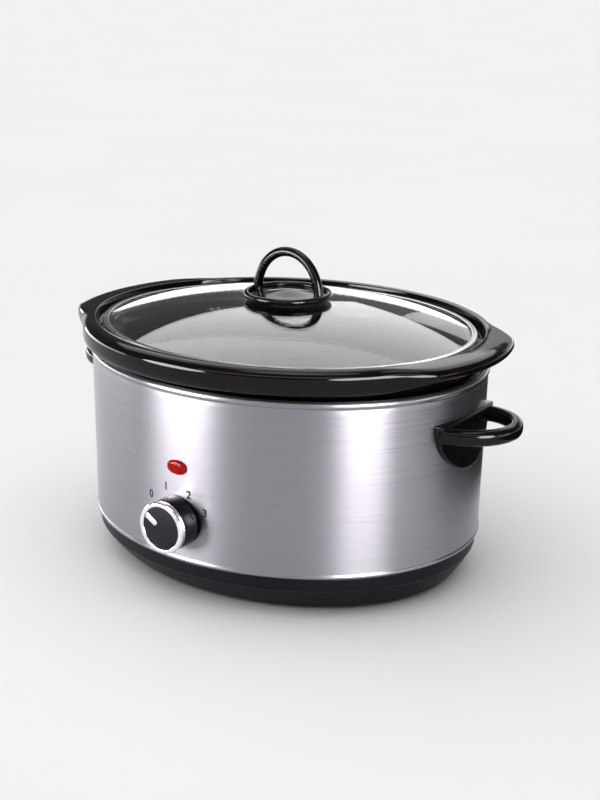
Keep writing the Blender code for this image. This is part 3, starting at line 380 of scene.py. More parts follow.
class Shader:
    """One Principled material and the few node patterns that the pieces share."""

    def __init__(self, name, colour, roughness, metallic=0.0, **sockets):
        self.material = bpy.data.materials.new(name)
        self.material.use_nodes = True
        self.material.diffuse_color = (*colour, 1.0)
        self.tree = self.material.node_tree
        self.bsdf = self.tree.nodes["Principled BSDF"]
        values = {"Base_Color": (*colour, 1.0), "Roughness": roughness, "Metallic": metallic, **sockets}
        for key, value in values.items():
            self.bsdf.inputs[key.replace("_", " ")].default_value = value

    def node(self, kind, **values):
        node = self.tree.nodes.new("ShaderNode" + kind)
        for key, value in values.items():
            node.inputs[key.replace("_", " ")].default_value = value
        return node

    def link(self, output, socket):
        self.tree.links.new(output, socket)

    def coordinates(self, scale=(1, 1, 1), location=(0, 0, 0)):
        """Object coordinates in metres, stretched."""
        source = self.node("TexCoord")
        mapping = self.node("Mapping", Scale=scale, Location=location)
        self.link(source.outputs["Object"], mapping.inputs["Vector"])
        return mapping.outputs["Vector"]

    def noise(self, scale, detail=3.0, roughness=0.5, stretch=(1, 1, 1), shift=(0, 0, 0)):
        node = self.node("TexNoise", Scale=scale, Detail=detail, Roughness=roughness)
        self.link(self.coordinates(stretch, shift), node.inputs["Vector"])
        return node.outputs["Fac"]

    def cells(self, scale, stretch=(1, 1, 1), feature="F1"):
        node = self.node("TexVoronoi", Scale=scale)
        node.feature = feature
        self.link(self.coordinates(stretch), node.inputs["Vector"])
        return node

    def ramp(self, factor, *stops):
        """A ramp through (position, grey or colour) stops."""
        node = self.node("ValToRGB")
        fill_ramp(node, [(at, *(shade if isinstance(shade, tuple) else (shade,) * 3)) for at, shade in stops])
        self.link(factor, node.inputs["Fac"])
        return node.outputs["Color"]

    def mix(self, factor, first, second):
        node = self.node("Mix")
        node.data_type = "RGBA"
        self.link(factor, node.inputs["Factor"])
        self.link(first, node.inputs[6])
        self.link(second, node.inputs[7])
        return node.outputs[2]

    def math(self, operation, first, second):
        node = self.node("Math")
        node.operation = operation
        for socket, value in zip(node.inputs, (first, second)):
            if isinstance(value, (int, float)):
                socket.default_value = value
            else:
                self.link(value, socket)
        return node.outputs[0]

    def colour(self, output):
        self.link(output, self.bsdf.inputs["Base Color"])

    def tint(self, factor, first, last, span=(0.3, 0.7)):
        """Base colour from first to last while the factor crosses the span."""
        self.colour(self.ramp(factor, (span[0], first), (span[1], last)))

    def rough(self, factor, first, last, span=(0.3, 0.7)):
        """Roughness from first to last while the factor crosses the span."""
        level = self.ramp(factor, (span[0], first), (span[1], last))
        self.link(level, self.bsdf.inputs["Roughness"])

    def bump(self, height, strength, distance, into=None):
        node = self.node("Bump", Strength=strength, Distance=distance)
        self.link(height, node.inputs["Height"])
        if into is not None:
            self.link(into, node.inputs["Normal"])
        self.link(node.outputs["Normal"], self.bsdf.inputs["Normal"])
        return node.outputs["Normal"]


def brushed_steel():
    """Sheet brushed along its length: fine level lines and a highlight drawn out up and down."""
    s = Shader("brushed_steel", (0.32, 0.305, 0.335), 0.30, 1.0, Anisotropic=0.75, Anisotropic_Rotation=0.25)
    fine = s.noise(1.0, detail=2.0, stretch=(9, 9, 2600))
    coarse = s.noise(1.0, stretch=(7, 7, 1100), shift=(3, 1, 7))
    patch = s.noise(9.0, detail=2.0)
    grain = s.math("ADD", s.math("MULTIPLY", fine, 0.55), s.math("MULTIPLY", coarse, 0.45))
    s.tint(grain, (0.272, 0.259, 0.287), (0.302, 0.289, 0.318))
    worn = s.math("ADD", grain, s.math("MULTIPLY", patch, 0.35))
    s.rough(worn, 0.26, 0.32, (0.40, 0.95))
    s.bump(grain, 0.02, 0.02 * MM)
    tangent = s.node("Tangent")
    tangent.direction_type = "RADIAL"
    tangent.axis = "Z"
    s.link(tangent.outputs["Tangent"], s.bsdf.inputs["Tangent"])
    return s.material


def polished_steel():
    s = Shader("polished_steel", (0.66, 0.65, 0.66), 0.14, 1.0)
    lines = s.noise(1.0, detail=2.0, stretch=(30, 30, 4000))
    smear = s.noise(60.0)
    s.tint(smear, (0.62, 0.61, 0.62), (0.72, 0.71, 0.72))
    s.rough(lines, 0.09, 0.20)
    s.bump(lines, 0.08, 0.03 * MM)
    return s.material


def chrome():
    s = Shader("chrome", (0.90, 0.90, 0.92), 0.16, 1.0)
    haze = s.noise(220.0, detail=4.0)
    s.tint(haze, (0.88, 0.88, 0.90), (0.93, 0.93, 0.95))
    s.rough(haze, 0.14, 0.20, (0.35, 0.75))
    s.bump(s.noise(300.0, detail=1.0), 0.01, 0.02 * MM)
    return s.material


def gloss_plastic():
    """Polished moulding with the faint ripple of its tool."""
    s = Shader("gloss_black_plastic", (0.004, 0.0036, 0.005), 0.13, Specular_IOR_Level=0.22)
    ripple = s.noise(95.0, detail=2.0)
    dust = s.noise(1400.0)
    s.tint(ripple, (0.004, 0.0035, 0.005), (0.007, 0.006, 0.008))
    s.rough(s.noise(160.0, detail=4.0), 0.09, 0.20, (0.35, 0.75))
    first = s.bump(ripple, 0.12, 0.20 * MM)
    s.bump(dust, 0.03, 0.02 * MM, first)
    return s.material


def satin_plastic():
    """Blue-black moulding with an eroded skin."""
    s = Shader("satin_black_plastic", (0.006, 0.005, 0.009), 0.36, Specular_IOR_Level=0.12)
    grain = s.noise(1700.0, roughness=0.6)
    drift = s.noise(24.0)
    s.tint(drift, (0.0048, 0.0040, 0.0078), (0.0075, 0.0062, 0.0115))
    s.rough(grain, 0.34, 0.50)
    s.bump(grain, 0.16, 0.06 * MM)
    return s.material


def dial_plastic():
    """Charcoal face with a fine turned finish about the knob's axis."""
    s = Shader("charcoal_plastic", (0.011, 0.010, 0.015), 0.42, Specular_IOR_Level=0.14)
    rings = s.node("TexWave", Scale=260.0, Distortion=0.4)
    rings.wave_type = "RINGS"
    rings.rings_direction = "Y"
    s.link(s.coordinates(location=(0, 0, -KNOB_HEIGHT)), rings.inputs["Vector"])
    grain = s.noise(1500.0)
    s.tint(grain, (0.009, 0.008, 0.013), (0.014, 0.012, 0.018))
    s.rough(rings.outputs["Fac"], 0.36, 0.48, (0.0, 1.0))
    first = s.bump(rings.outputs["Fac"], 0.05, 0.03 * MM)
    s.bump(grain, 0.10, 0.03 * MM, first)
    return s.material


def glaze():
    """Deep black stoneware glaze, browner where it ran thin, over a body that waves a little."""
    s = Shader("black_glaze", (0.006, 0.0035, 0.004), 0.06, Specular_IOR_Level=0.24, IOR=1.45)
    wave = s.noise(16.0, detail=2.0)
    pool = s.noise(46.0, detail=4.0)
    s.tint(pool, (0.0045, 0.0026, 0.0032), (0.0085, 0.0045, 0.0050), (0.35, 0.75))
    s.rough(s.noise(130.0, detail=4.0), 0.045, 0.12, (0.4, 0.8))
    first = s.bump(wave, 0.22, 0.6 * MM)
    s.bump(s.noise(420.0, detail=2.0), 0.05, 0.04 * MM, first)
    return s.material


def clear_glass():
    """Clear tempered glass, faintly uneven, with slight traces of wiping."""
    s = Shader("clear_glass", (0.92, 0.93, 0.94), 0.0, Transmission_Weight=1.0, IOR=1.52)
    wipe = s.noise(1.0, detail=2.0, stretch=(10, 30, 20))
    s.rough(wipe, 0.0, 0.012, (0.45, 0.85))
    s.tint(s.noise(20.0), (0.90, 0.915, 0.93), (0.93, 0.945, 0.96))
    s.bump(s.noise(8.0, detail=1.0), 0.03, 0.2 * MM)
    return s.material


def red_lens():
    """Red moulding with prisms inside, each darker towards its edge by painted shade: a lit and a shaded copy
    of the red, mixed by the prism pattern.
    """
    s = Shader("red_lens", (0.55, 0.005, 0.007), 0.12, Specular_IOR_Level=0.12, IOR=1.45)
    prisms = s.cells(900.0, stretch=(1, 0.2, 1)).outputs["Distance"]
    # painted shade: towards each prism's edge the red goes from the lit copy to the shaded copy
    edge = s.ramp(prisms, (0.2, 0.0), (0.7, 1.0))
    lit = s.ramp(s.noise(300.0), (0.3, (0.84, 0.007, 0.010)), (0.7, (0.70, 0.005, 0.008)))
    dark = s.ramp(s.noise(300.0), (0.3, (0.40, 0.003, 0.004)), (0.7, (0.30, 0.002, 0.003)))
    s.colour(s.mix(edge, lit, dark))
    s.rough(s.noise(500.0), 0.06, 0.16, (0.3, 0.8))
    s.bump(prisms, 0.08, 0.05 * MM)
    return s.material


def rubber():
    s = Shader("rubber", (0.022, 0.022, 0.022), 0.78)
    grain = s.noise(900.0, detail=5.0, roughness=0.65)
    s.tint(grain, (0.016, 0.016, 0.016), (0.040, 0.039, 0.038), (0.3, 0.8))
    s.rough(grain, 0.70, 0.90, (0.3, 0.8))
    s.bump(grain, 0.30, 0.10 * MM)
    return s.material


def silicone():
    s = Shader("silicone", (0.62, 0.63, 0.63), 0.45, Subsurface_Weight=0.15, Subsurface_Scale=0.002)
    cloud = s.noise(260.0)
    s.tint(cloud, (0.56, 0.57, 0.57), (0.68, 0.69, 0.69))
    s.rough(cloud, 0.38, 0.55)
    s.bump(cloud, 0.10, 0.05 * MM)
    return s.material


def galvanised():
    """Zinc-coated sheet with its frosted crystal pattern."""
    s = Shader("galvanised_sheet", (0.50, 0.51, 0.52), 0.36, 1.0)
    crystals = s.cells(130.0).outputs["Color"]
    frost = s.noise(700.0, detail=4.0)
    facets = s.ramp(crystals, (0.1, (0.40, 0.41, 0.42)), (0.9, (0.56, 0.57, 0.58)))
    bloom = s.ramp(frost, (0.3, (0.46, 0.47, 0.48)), (0.7, (0.54, 0.55, 0.56)))
    s.colour(s.mix(frost, facets, bloom))
    s.rough(crystals, 0.28, 0.46, (0.1, 0.9))
    s.bump(frost, 0.06, 0.04 * MM)
    return s.material


def heater_foil():
    """Pressed foil band over its heating wire."""
    s = Shader("heater_foil", (0.52, 0.49, 0.42), 0.36, 0.85)
    turns = s.node("TexWave", Scale=42.0, Distortion=0.6)
    turns.bands_direction = "Z"
    s.link(s.coordinates(), turns.inputs["Vector"])
    crease = s.noise(240.0, detail=5.0, roughness=0.7)
    s.tint(crease, (0.42, 0.39, 0.32), (0.60, 0.57, 0.50))
    s.rough(crease, 0.26, 0.50)
    first = s.bump(turns.outputs["Fac"], 0.30, 0.40 * MM)
    s.bump(crease, 0.35, 0.20 * MM, first)
    return s.material


def glass_fibre():
    """Needled white wool."""
    s = Shader("glass_fibre", (0.78, 0.76, 0.68), 0.92, Sheen_Weight=0.3)
    hair = s.noise(420.0, detail=6.0, roughness=0.7, stretch=(1, 1, 3))
    clump = s.noise(60.0)
    tuft = s.math("ADD", s.math("MULTIPLY", hair, 0.6), s.math("MULTIPLY", clump, 0.4))
    s.tint(tuft, (0.62, 0.60, 0.52), (0.86, 0.84, 0.77))
    s.rough(hair, 0.85, 0.98)
    s.bump(tuft, 0.60, 0.60 * MM)
    return s.material


def lead_sleeve():
    """Braided glass sleeve on the inner leads."""
    s = Shader("lead_sleeve", (0.72, 0.70, 0.64), 0.62)
    braid = s.cells(1500.0, stretch=(1, 0.6, 1)).outputs["Distance"]
    s.tint(braid, (0.78, 0.76, 0.70), (0.50, 0.48, 0.43), (0.1, 0.8))
    s.rough(braid, 0.52, 0.78, (0.1, 0.8))
    s.bump(braid, 0.40, 0.20 * MM)
    return s.material


def zinc():
    """Bright zinc-plated fasteners, faintly yellow in patches."""
    s = Shader("zinc_fastener", (0.62, 0.61, 0.58), 0.30, 1.0)
    patch = s.noise(180.0, detail=4.0)
    scratch = s.noise(1.0, detail=2.0, stretch=(1500, 1500, 260))
    s.tint(patch, (0.56, 0.56, 0.54), (0.68, 0.66, 0.60))
    s.rough(scratch, 0.22, 0.42)
    s.bump(scratch, 0.08, 0.04 * MM)
    return s.material


def printed_ink():
    """Dark screen-printed ink, slightly uneven."""
    s = Shader("legend_ink", (0.022, 0.020, 0.024), 0.48, Specular_IOR_Level=0.2)
    spots = s.noise(2600.0)
    s.tint(spots, (0.018, 0.017, 0.020), (0.035, 0.033, 0.038), (0.3, 0.75))
    s.rough(spots, 0.42, 0.58)
    return s.material


def floor_paint():
    s = Shader("pale_floor", (0.86, 0.86, 0.87), 1.0, Specular_IOR_Level=0.0)
    cloud = s.noise(2.0)
    s.tint(cloud, (0.855, 0.855, 0.865), (0.870, 0.870, 0.878))
    return s.material


# Pieces


def build_housing(steel):
    """Brushed wall, rolled bead at the top and folded curl at the bottom, with its openings cut."""
    bead = arc((BEAD_PROUD - BEAD_RADIUS, BEAD_CENTRE), BEAD_RADIUS, -50, 210, 26)
    low = BASE_HEIGHT
    sheet = STEEL_SHEET
    wall_low, wall_high = low + 3.8 * MM, bead[0][1] - 1.4 * MM
    rows = 32
    heights = [wall_low + (wall_high - wall_low) * i / rows for i in range(rows + 1)]
    curl = [
        (-FLANGE_WIDTH, low),
        (0.0, low),
        (CURL_WIDTH, low + 0.8 * MM),
        (CURL_WIDTH, low + 2.6 * MM),
        (0.0, low + 3.4 * MM),
        (0.0, heights[0]),
    ]
    profile = [tuple(p) for p in fillet(curl, 0.8 * MM, closed=False, steps=5)]
    profile += [(0.0, z) for z in heights[1:]]
    profile += [(-0.1 * MM, bead[0][1] - 0.5 * MM), *bead, (-sheet, bead[-1][1] - 0.4 * MM)]
    profile += [(-sheet, z) for z in reversed(heights)]
    profile += [(-sheet, low + sheet), (-FLANGE_WIDTH, low + sheet)]
    wall = put("steel_housing", loft(oval_profile(grown(profile)), hoop=True), steel, BODY)
    reach = 9 * MM
    rear_y = BODY_Y + HOUSING[1]
    cutters = [
        pin(SWITCH_HOLE_RADIUS, (0, WALL_Y - reach, KNOB_HEIGHT), (0, WALL_Y + reach, KNOB_HEIGHT)),
        pin(GLAND_HOLE_RADIUS, (0, rear_y - reach, GLAND_HEIGHT), (0, rear_y + reach, GLAND_HEIGHT)),
    ]
    window = rounded_outline(12.6 * MM, 8.6 * MM, 40, power=2.6)
    rings = [[Vector((x, y, LENS_HEIGHT + z)) for x, z in window] for y in (WALL_Y - reach, WALL_Y + reach)]
    cutters.append(put("cutter", loft(rings)))
    for side in (1, -1):
        cutters += handle_screw_cutters(side, 6 * MM, 6 * MM)
    combine(wall, cutters, "DIFFERENCE")
    place(wall, "housing", "brushed_steel", "outer_housing")


def handle_screw_place(side, y):
    """Where a side handle's screw crosses the wall, and the wall's outward normal there."""
    x = housing_x(y)
    normal = oval_normal(x, y)
    spot = Vector((side * x, BODY_Y + y, HANDLE_TOP - LOOP_DROP))
    return spot, Vector((side * normal.x, normal.y, 0))


def handle_screw_cutters(side, inward, outward):
    """Cutters for one side handle's two screw holes, reaching so far in and out of the wall."""
    cutters = []
    for y in (-LOOP_ROOT_Y, LOOP_ROOT_Y):
        spot, normal = handle_screw_place(side, y)
        cutters.append(pin(HANDLE_SCREW_RADIUS + CLEARANCE, spot - normal * inward, spot + normal * outward))
    return cutters


def build_base(plastic):
    """Moulded tray: a rounded lower bowl, a raised step line and a band up to the steel."""
    wall = 2.5 * MM
    step = (HOUSING[0] - 3 * MM, HOUSING[1] - 3 * MM)
    low = (HOUSING[0] - 15 * MM, HOUSING[1] - 20 * MM)
    waist = ((low[0] + step[0]) / 2 + 1.6 * MM, (low[1] + step[1]) / 2 + 1.8 * MM)
    high = (HOUSING[0] - 1.2 * MM, HOUSING[1] - 1.2 * MM)
    step_z = 23 * MM
    top = BASE_HEIGHT - CLEARANCE
    floor = BASE_LOW
    hub = BOLT_RADIUS + CLEARANCE
    dimple = 15 * MM
    lift = 7 * MM
    points = [
        (hub, hub, floor + lift),
        (dimple - 2 * MM, dimple - 2 * MM, floor + lift),
        (dimple, dimple, floor),
        (outset(low, -3.4 * MM, floor), 4 * MM),
        (outset(low, 0.9 * MM, floor + 2.4 * MM), 5 * MM),
        ((*waist, 13.5 * MM), 9 * MM),
        outset(step, -0.2 * MM, step_z - 1 * MM),
        outset(step, 0.8 * MM, step_z - 0.2 * MM),
        outset(step, 0.9 * MM, step_z + 0.5 * MM),
        (*high, top - 0.8 * MM),
        outset(high, -0.8 * MM, top),
        outset(high, -wall, top),
        outset(step, -wall, step_z),
        (outset(low, 1 * MM - wall, floor + 4.6 * MM), 3 * MM),
        outset(low, -2 * MM - wall, floor + wall),
        (dimple + wall, dimple + wall, floor + wall),
        (dimple, dimple, floor + lift + wall),
        (hub, hub, floor + lift + wall),
    ]
    tray = put("base_moulding", loft(oval_profile(fillet(points, 0.5 * MM)), hoop=True), plastic, BODY)
    slots = bmesh.new()
    for column in (-2, -1, 0, 1, 2):
        for y in VENT_ROWS:
            made = bmesh.ops.create_cube(slots, size=1.0)["verts"]
            bmesh.ops.scale(slots, vec=VENT_SLOT, verts=made)
            bmesh.ops.translate(slots, vec=(column * VENT_PITCH, y + BODY_Y, floor), verts=made)
    cutters = [put("cutter", slots)]
    for node in FEET:
        spot = middle(node)
        cutters.append(pin(FOOT_HOLE_RADIUS, (spot.x, spot.y, 0), (spot.x, spot.y, 9 * MM)))
    combine(tray, cutters, "DIFFERENCE")
    place(tray, "housing", "satin_black_plastic", "base_tray")


def build_feet(material):
    """Rubber feet with a hollowed sole, a pad, a neck in the base and a barb above it."""
    stem, pad = 3.2 * MM, 8 * MM
    foot_height = 1.7 * MM
    for node in FEET:
        spot = middle(node)
        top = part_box(node)[1].z
        profile = [
            (0.0, 0.3 * MM),
            (pad - 2.4 * MM, 0.3 * MM),
            (pad - 2 * MM, 0.0),
            (pad, 0.0),
            (pad, foot_height),
            (stem, foot_height),
            (stem, top - 1.6 * MM),
            (4.8 * MM, top - 1.6 * MM),
            (4.8 * MM, top - 1 * MM),
            (3.4 * MM, top),
            (0.0, top),
        ]
        matrix = Matrix.Translation((spot.x, spot.y, 0))
        foot = turned(f"rubber_{node}", profile, 0.4 * MM, material, matrix, segments=48)
        place(foot, "housing", "rubber", node)


def build_well(material):
    """Pressed heating well that the crock hangs in."""
    bottom, top = WELL_BOX[0].z, WELL_BOX[1].z
    sheet, inset = STEEL_SHEET, WELL_INSET
    bend = (-inset - WELL_CORNER, bottom + WELL_CORNER)
    outer = arc(bend, WELL_CORNER, -90, 0, 16)
    inner = arc(bend, WELL_CORNER - sheet, 0, -90, 16)
    flange = BEAD_PROUD - 2 * BEAD_RADIUS - CLEARANCE
    hub = BOLT_RADIUS + CLEARANCE
    points = [(hub, hub, bottom), *grown(outer)]
    points += [(outset(HOUSING, -inset, top - sheet), 0.2 * MM)]
    points += grown([(flange, top - sheet), (flange, top), (-inset - sheet, top)])
    points += [*grown(inner), (hub, hub, bottom + sheet)]
    rings = oval_profile(fillet(points, 0.3 * MM, steps=2))
    well = put("pressed_well", loft(rings, hoop=True), material, BODY)
    place(well, "housing", "galvanised_sheet", "heating_well")


def crock_ring(half_length, half_width, z, ear, lift):
    """A ring whose two ends reach out by ear and rise by lift, where the rim forms its ears."""
    full, none = EAR_FULL * CROCK_RIM[1], EAR_NONE * CROCK_RIM[1]
    ring = []
    for point in oval_ring(half_length, half_width, z):
        normal = oval_normal(point.x, point.y, (half_length, half_width))
        share = ease((none - abs(point.y)) / (none - full))
        ring.append(point + normal * ear * share + UP * lift * share)
    return ring


def crock_outside():
    """The crock's outer profile up to the top of its rim: half length, half width, z, ear and lift."""
    draft = CROCK_INSET + CROCK_DRAFT
    corner = (-draft - CROCK_CORNER, CROCK_BOTTOM + CROCK_CORNER)
    lip = HOUSING_TOP + 6 * MM
    ear, lift = EAR_REACH, EAR_LIFT
    rim = CROCK_RIM
    foot = 1.2 * MM
    bottom = [outset(HOUSING, g, z, 0.0, 0.0) for g, z in arc(corner, CROCK_CORNER, -90, 0, 20)]
    recess = [outset(bottom[0], -8 * MM, CROCK_BOTTOM + foot, 0.0, 0.0)]
    recess.append(outset(bottom[0], -5 * MM, CROCK_BOTTOM, 0.0, 0.0))
    return recess + bottom + [
        outset(HOUSING, -CROCK_INSET, CROCK_SEAT, 0.0, 0.0),
        outset(HOUSING, -6 * MM, CROCK_SEAT, 0.0, 0.0),
        outset(HOUSING, -3 * MM, lip + 0.5 * MM, 0.0, 0.0),
        outset(rim, -5 * MM, lip + 0.5 * MM, ear * 0.7, lift),
        (outset(rim, -1.6 * MM, lip + 0.2 * MM, ear, lift), 2 * MM),
        ((*rim, lip + 4 * MM, ear, lift * 0.8), 3 * MM),
        ((*rim, RIM_TOP - 5 * MM, ear, 0.0), 2 * MM),
        (outset(rim, -1.5 * MM, RIM_TOP - 2.2 * MM, ear, 0.0), 1.8 * MM),
        (outset(rim, -4.4 * MM, RIM_TOP - 0.4 * MM, ear, -EAR_FALL), 1.8 * MM),
        ((rim[0] - 7 * MM, rim[1] - 7.2 * MM, RIM_TOP, ear, -EAR_FALL), 1.5 * MM),
    ]


def crock_inside():
    """From the rim's inner edge down the lid's seat and the inner wall to the floor."""
    draft = CROCK_INSET + CROCK_DRAFT
    wall = -draft - CROCK_WALL
    corner = (-draft - CROCK_CORNER, CROCK_BOTTOM + CROCK_CORNER)
    a, b = LID
    points = [
        (a + 6 * MM, b + 5 * MM, RIM_TOP - 0.15 * MM),
        (a + 4.8 * MM, b + 3.8 * MM, LID_SEAT + 1.4 * MM),
        (a + 3.6 * MM, b + 2.8 * MM, LID_SEAT),
        (outset(LID, -8.4 * MM, LID_SEAT), 1.6 * MM),
        ((a - 11 * MM, b - 11.4 * MM, LID_SEAT - 1.6 * MM), 3 * MM),
        (outset(HOUSING, wall + 4.6 * MM, LID_SEAT - 8 * MM), 5 * MM),
        (outset(HOUSING, wall + 3 * MM, CROCK_SEAT), 8 * MM),
    ]
    points += grown(arc(corner, CROCK_CORNER - CROCK_WALL, 0, -90, 18))
    flat = []
    for point in points:
        if isinstance(point[0], tuple):
            flat.append(((*point[0], 0.0, 0.0), point[1]))
        else:
            flat.append((*point, 0.0, 0.0))
    return flat


def build_crock(material):
    """One glazed pot from the recess in its foot, over its eared rim and down its inside."""
    points = crock_outside() + crock_inside()
    rings = [crock_ring(*point) for point in fillet(points, 1.2 * MM, closed=False)]
    pot = put("glazed_crock", loft(rings), material, BODY)
    place(pot, "crock", "black_glaze", "crock")


def build_lid_glass(material):
    """Domed glass with a rounded edge and a hole for the handle's screw."""
    inside = LID_RIM_WALL + CLEARANCE
    rise = DOME_TOP - GLASS_EDGE_TOP
    edge_x, edge_y = LID[0] - inside, LID[1] - inside
    dome_x, dome_y = LID[0] - LID_RIM_WIDTH - CLEARANCE, LID[1] - LID_RIM_WIDTH - CLEARANCE
    hole = LID_SCREW_RADIUS + CLEARANCE
    steps = 30
    shares = [1 - 0.97 * i / steps for i in range(steps + 1)]
    upper = [(dome_x * k, dome_y * k, GLASS_EDGE_TOP + rise * (1 - k**DOME_POWER)) for k in shares]
    lower = [(x, y, z - LID_GLASS) for x, y, z in reversed(upper)]
    edge = [(edge_x, edge_y, GLASS_EDGE_TOP - LID_GLASS), (edge_x, edge_y, GLASS_EDGE_TOP)]
    bore = [(hole, hole, DOME_TOP), (hole, hole, DOME_TOP - LID_GLASS)]
    points = fillet(edge + upper + bore + lower, 0.6 * MM, steps=2)
    pane = put("domed_glass", loft(oval_profile(points), hoop=True), material, BODY)
    place(pane, "lid", "clear_glass", "lid_glass")


def build_lid_rim(material):
    """Steel channel folded round the edge of the glass."""
    low, high, width = LID_RIM_BOX[0].z, LID_RIM_BOX[1].z, LID_RIM_WIDTH
    profile = [
        (-width, low),
        (-0.8 * MM, low),
        (0.0, low + 0.9 * MM),
        (0.0, high - 0.9 * MM),
        (-0.8 * MM, high),
        (-width, high),
        (-width, high - LID_RIM_LIP),
        (-LID_RIM_WALL, high - LID_RIM_LIP),
        (-LID_RIM_WALL, low + LID_RIM_LIP),
        (-width, low + LID_RIM_LIP),
    ]
    points = grown(fillet(profile, 0.5 * MM), LID)
    band = put("lid_band", loft(oval_profile(points), hoop=True), material, BODY)
    place(band, "lid", "brushed_steel", "lid_rim")


def build_lid_handle(material):
    """One moulding: a dish with a rolled rim, and an arch across it whose feet spread into the dish."""
    hole = LID_SCREW_RADIUS + CLEARANCE
    rim_middle = DISH_BOTTOM + DISH_RIM_RADIUS
    ring_centre = DISH_RADIUS - DISH_RIM_RADIUS
    floor_top = DISH_BOTTOM + 2.4 * MM
    pilot_top = DISH_BOTTOM + 3.6 * MM
    dish = [(hole, pilot_top), (hole, DISH_BOTTOM)]
    dish += arc((ring_centre, rim_middle), DISH_RIM_RADIUS, -90, 200, 22)
    dish += [((26 * MM, floor_top), 3 * MM), ((18 * MM, floor_top + 0.4 * MM), 4 * MM)]
    dish += [((5 * MM, pilot_top + 1.4 * MM), 3 * MM), (0.0, pilot_top + 1.7 * MM)]
    handle = turned("lid_grip", [(0.0, pilot_top), *dish], 0.3 * MM, material, BODY, segments=128)
    spread = ring_centre - ARCH_INSET
    foot_z = DISH_BOTTOM + 2.2 * MM
    top_z = LID_HANDLE_TOP - ARCH_RADIUS
    path = []
    steps = 72
    for i in range(steps + 1):
        a = pi * i / steps
        path.append(Vector((spread * cos(a), BODY_Y, foot_z + (top_z - foot_z) * sin(a))))
    outline = rounded_outline(2 * ARCH_RADIUS, 2 * ARCH_RADIUS, 36, power=2.0)
    arch = put("cutter", loft(sweep(path, outline, Vector((0, 1, 0)), flare(path, 2.6 * MM, 0.10))))
    combine(handle, [arch], "UNION")
    place(handle, "lid", "gloss_black_plastic", "lid_handle")


def plate_outline(points):
    """A half disc with a straight top, as (y, z) about the handle's top middle, corners rounded."""
    angles = np.linspace(0.09, pi - 0.09, points)
    half = [(PLATE_RADIUS * cos(a), -PLATE_RADIUS * sin(a)) for a in angles]
    corners = [(PLATE_RADIUS, 0.0), *half, (-PLATE_RADIUS, 0.0)]
    return [tuple(p) for p in fillet(corners, 1 * MM, steps=3)]


def plate_ring(outline, side, inset, depth, share=1.0):
    """The outline drawn in towards the plate's middle and laid over the housing's curve at a depth."""
    centre_z = -0.4 * PLATE_RADIUS
    ledge_low, ledge_high = -4.6 * MM, -3 * MM
    ring = []
    for y, z in outline:
        offset = Vector((y, z - centre_z))
        size = share * (1 - inset / offset.length)
        y, z = offset.x * size, centre_z + offset.y * size
        rise = ease((z - ledge_low) / (ledge_high - ledge_low))
        out = depth + PLATE_LEDGE * rise if depth > CLEARANCE else depth
        ring.append(Vector((side * housing_x(y, out), BODY_Y + y, HANDLE_TOP + z)))
    return ring


def build_side_handle(end, side, material):
    """A half-disc plate that hugs the wall under a straight ledge, and a rounded loop to lift by."""
    outline = plate_outline(60)
    edge = 1 * MM
    rings = [plate_ring(outline, side, 0.0, CLEARANCE)]
    for k in range(6):
        a = pi / 2 * k / 5
        depth = PLATE_THICKNESS - edge + edge * sin(a)
        rings.append(plate_ring(outline, side, edge * (1 - cos(a)), depth))
    shares = [0.95, 0.9, 0.84, 0.76, 0.66, 0.54, 0.4, 0.24, 0.08]
    rings += [plate_ring(outline, side, edge, PLATE_THICKNESS, share) for share in shares]
    rings += [plate_ring(outline, side, 0.0, CLEARANCE, share) for share in reversed(shares)]
    plate = put(f"handle_plate_{end}", loft(rings), material)
    root_x = housing_x(LOOP_ROOT_Y, 2 * MM)
    tip_x = HANDLE_TIP - LOOP_WIDTH / 2
    root_z = HANDLE_TOP - LOOP_DROP
    path = []
    steps = 64
    for i in range(steps + 1):
        a = pi * (i / steps - 0.5)
        x = root_x + (tip_x - root_x) * cos(a)
        path.append(Vector((side * x, BODY_Y + LOOP_ROOT_Y * sin(a), root_z + LOOP_RISE * cos(a))))
    outline = rounded_outline(LOOP_WIDTH, LOOP_DEPTH, 40, power=2.5)
    loop = put("cutter", loft(sweep(path, outline, UP, flare(path, 2.5 * MM, 0.14))))
    combine(plate, [loop], "UNION")
    combine(plate, handle_screw_cutters(side, 2 * MM, 8 * MM), "DIFFERENCE")
    place(plate, "housing", "gloss_black_plastic", f"side_handle_{end}")


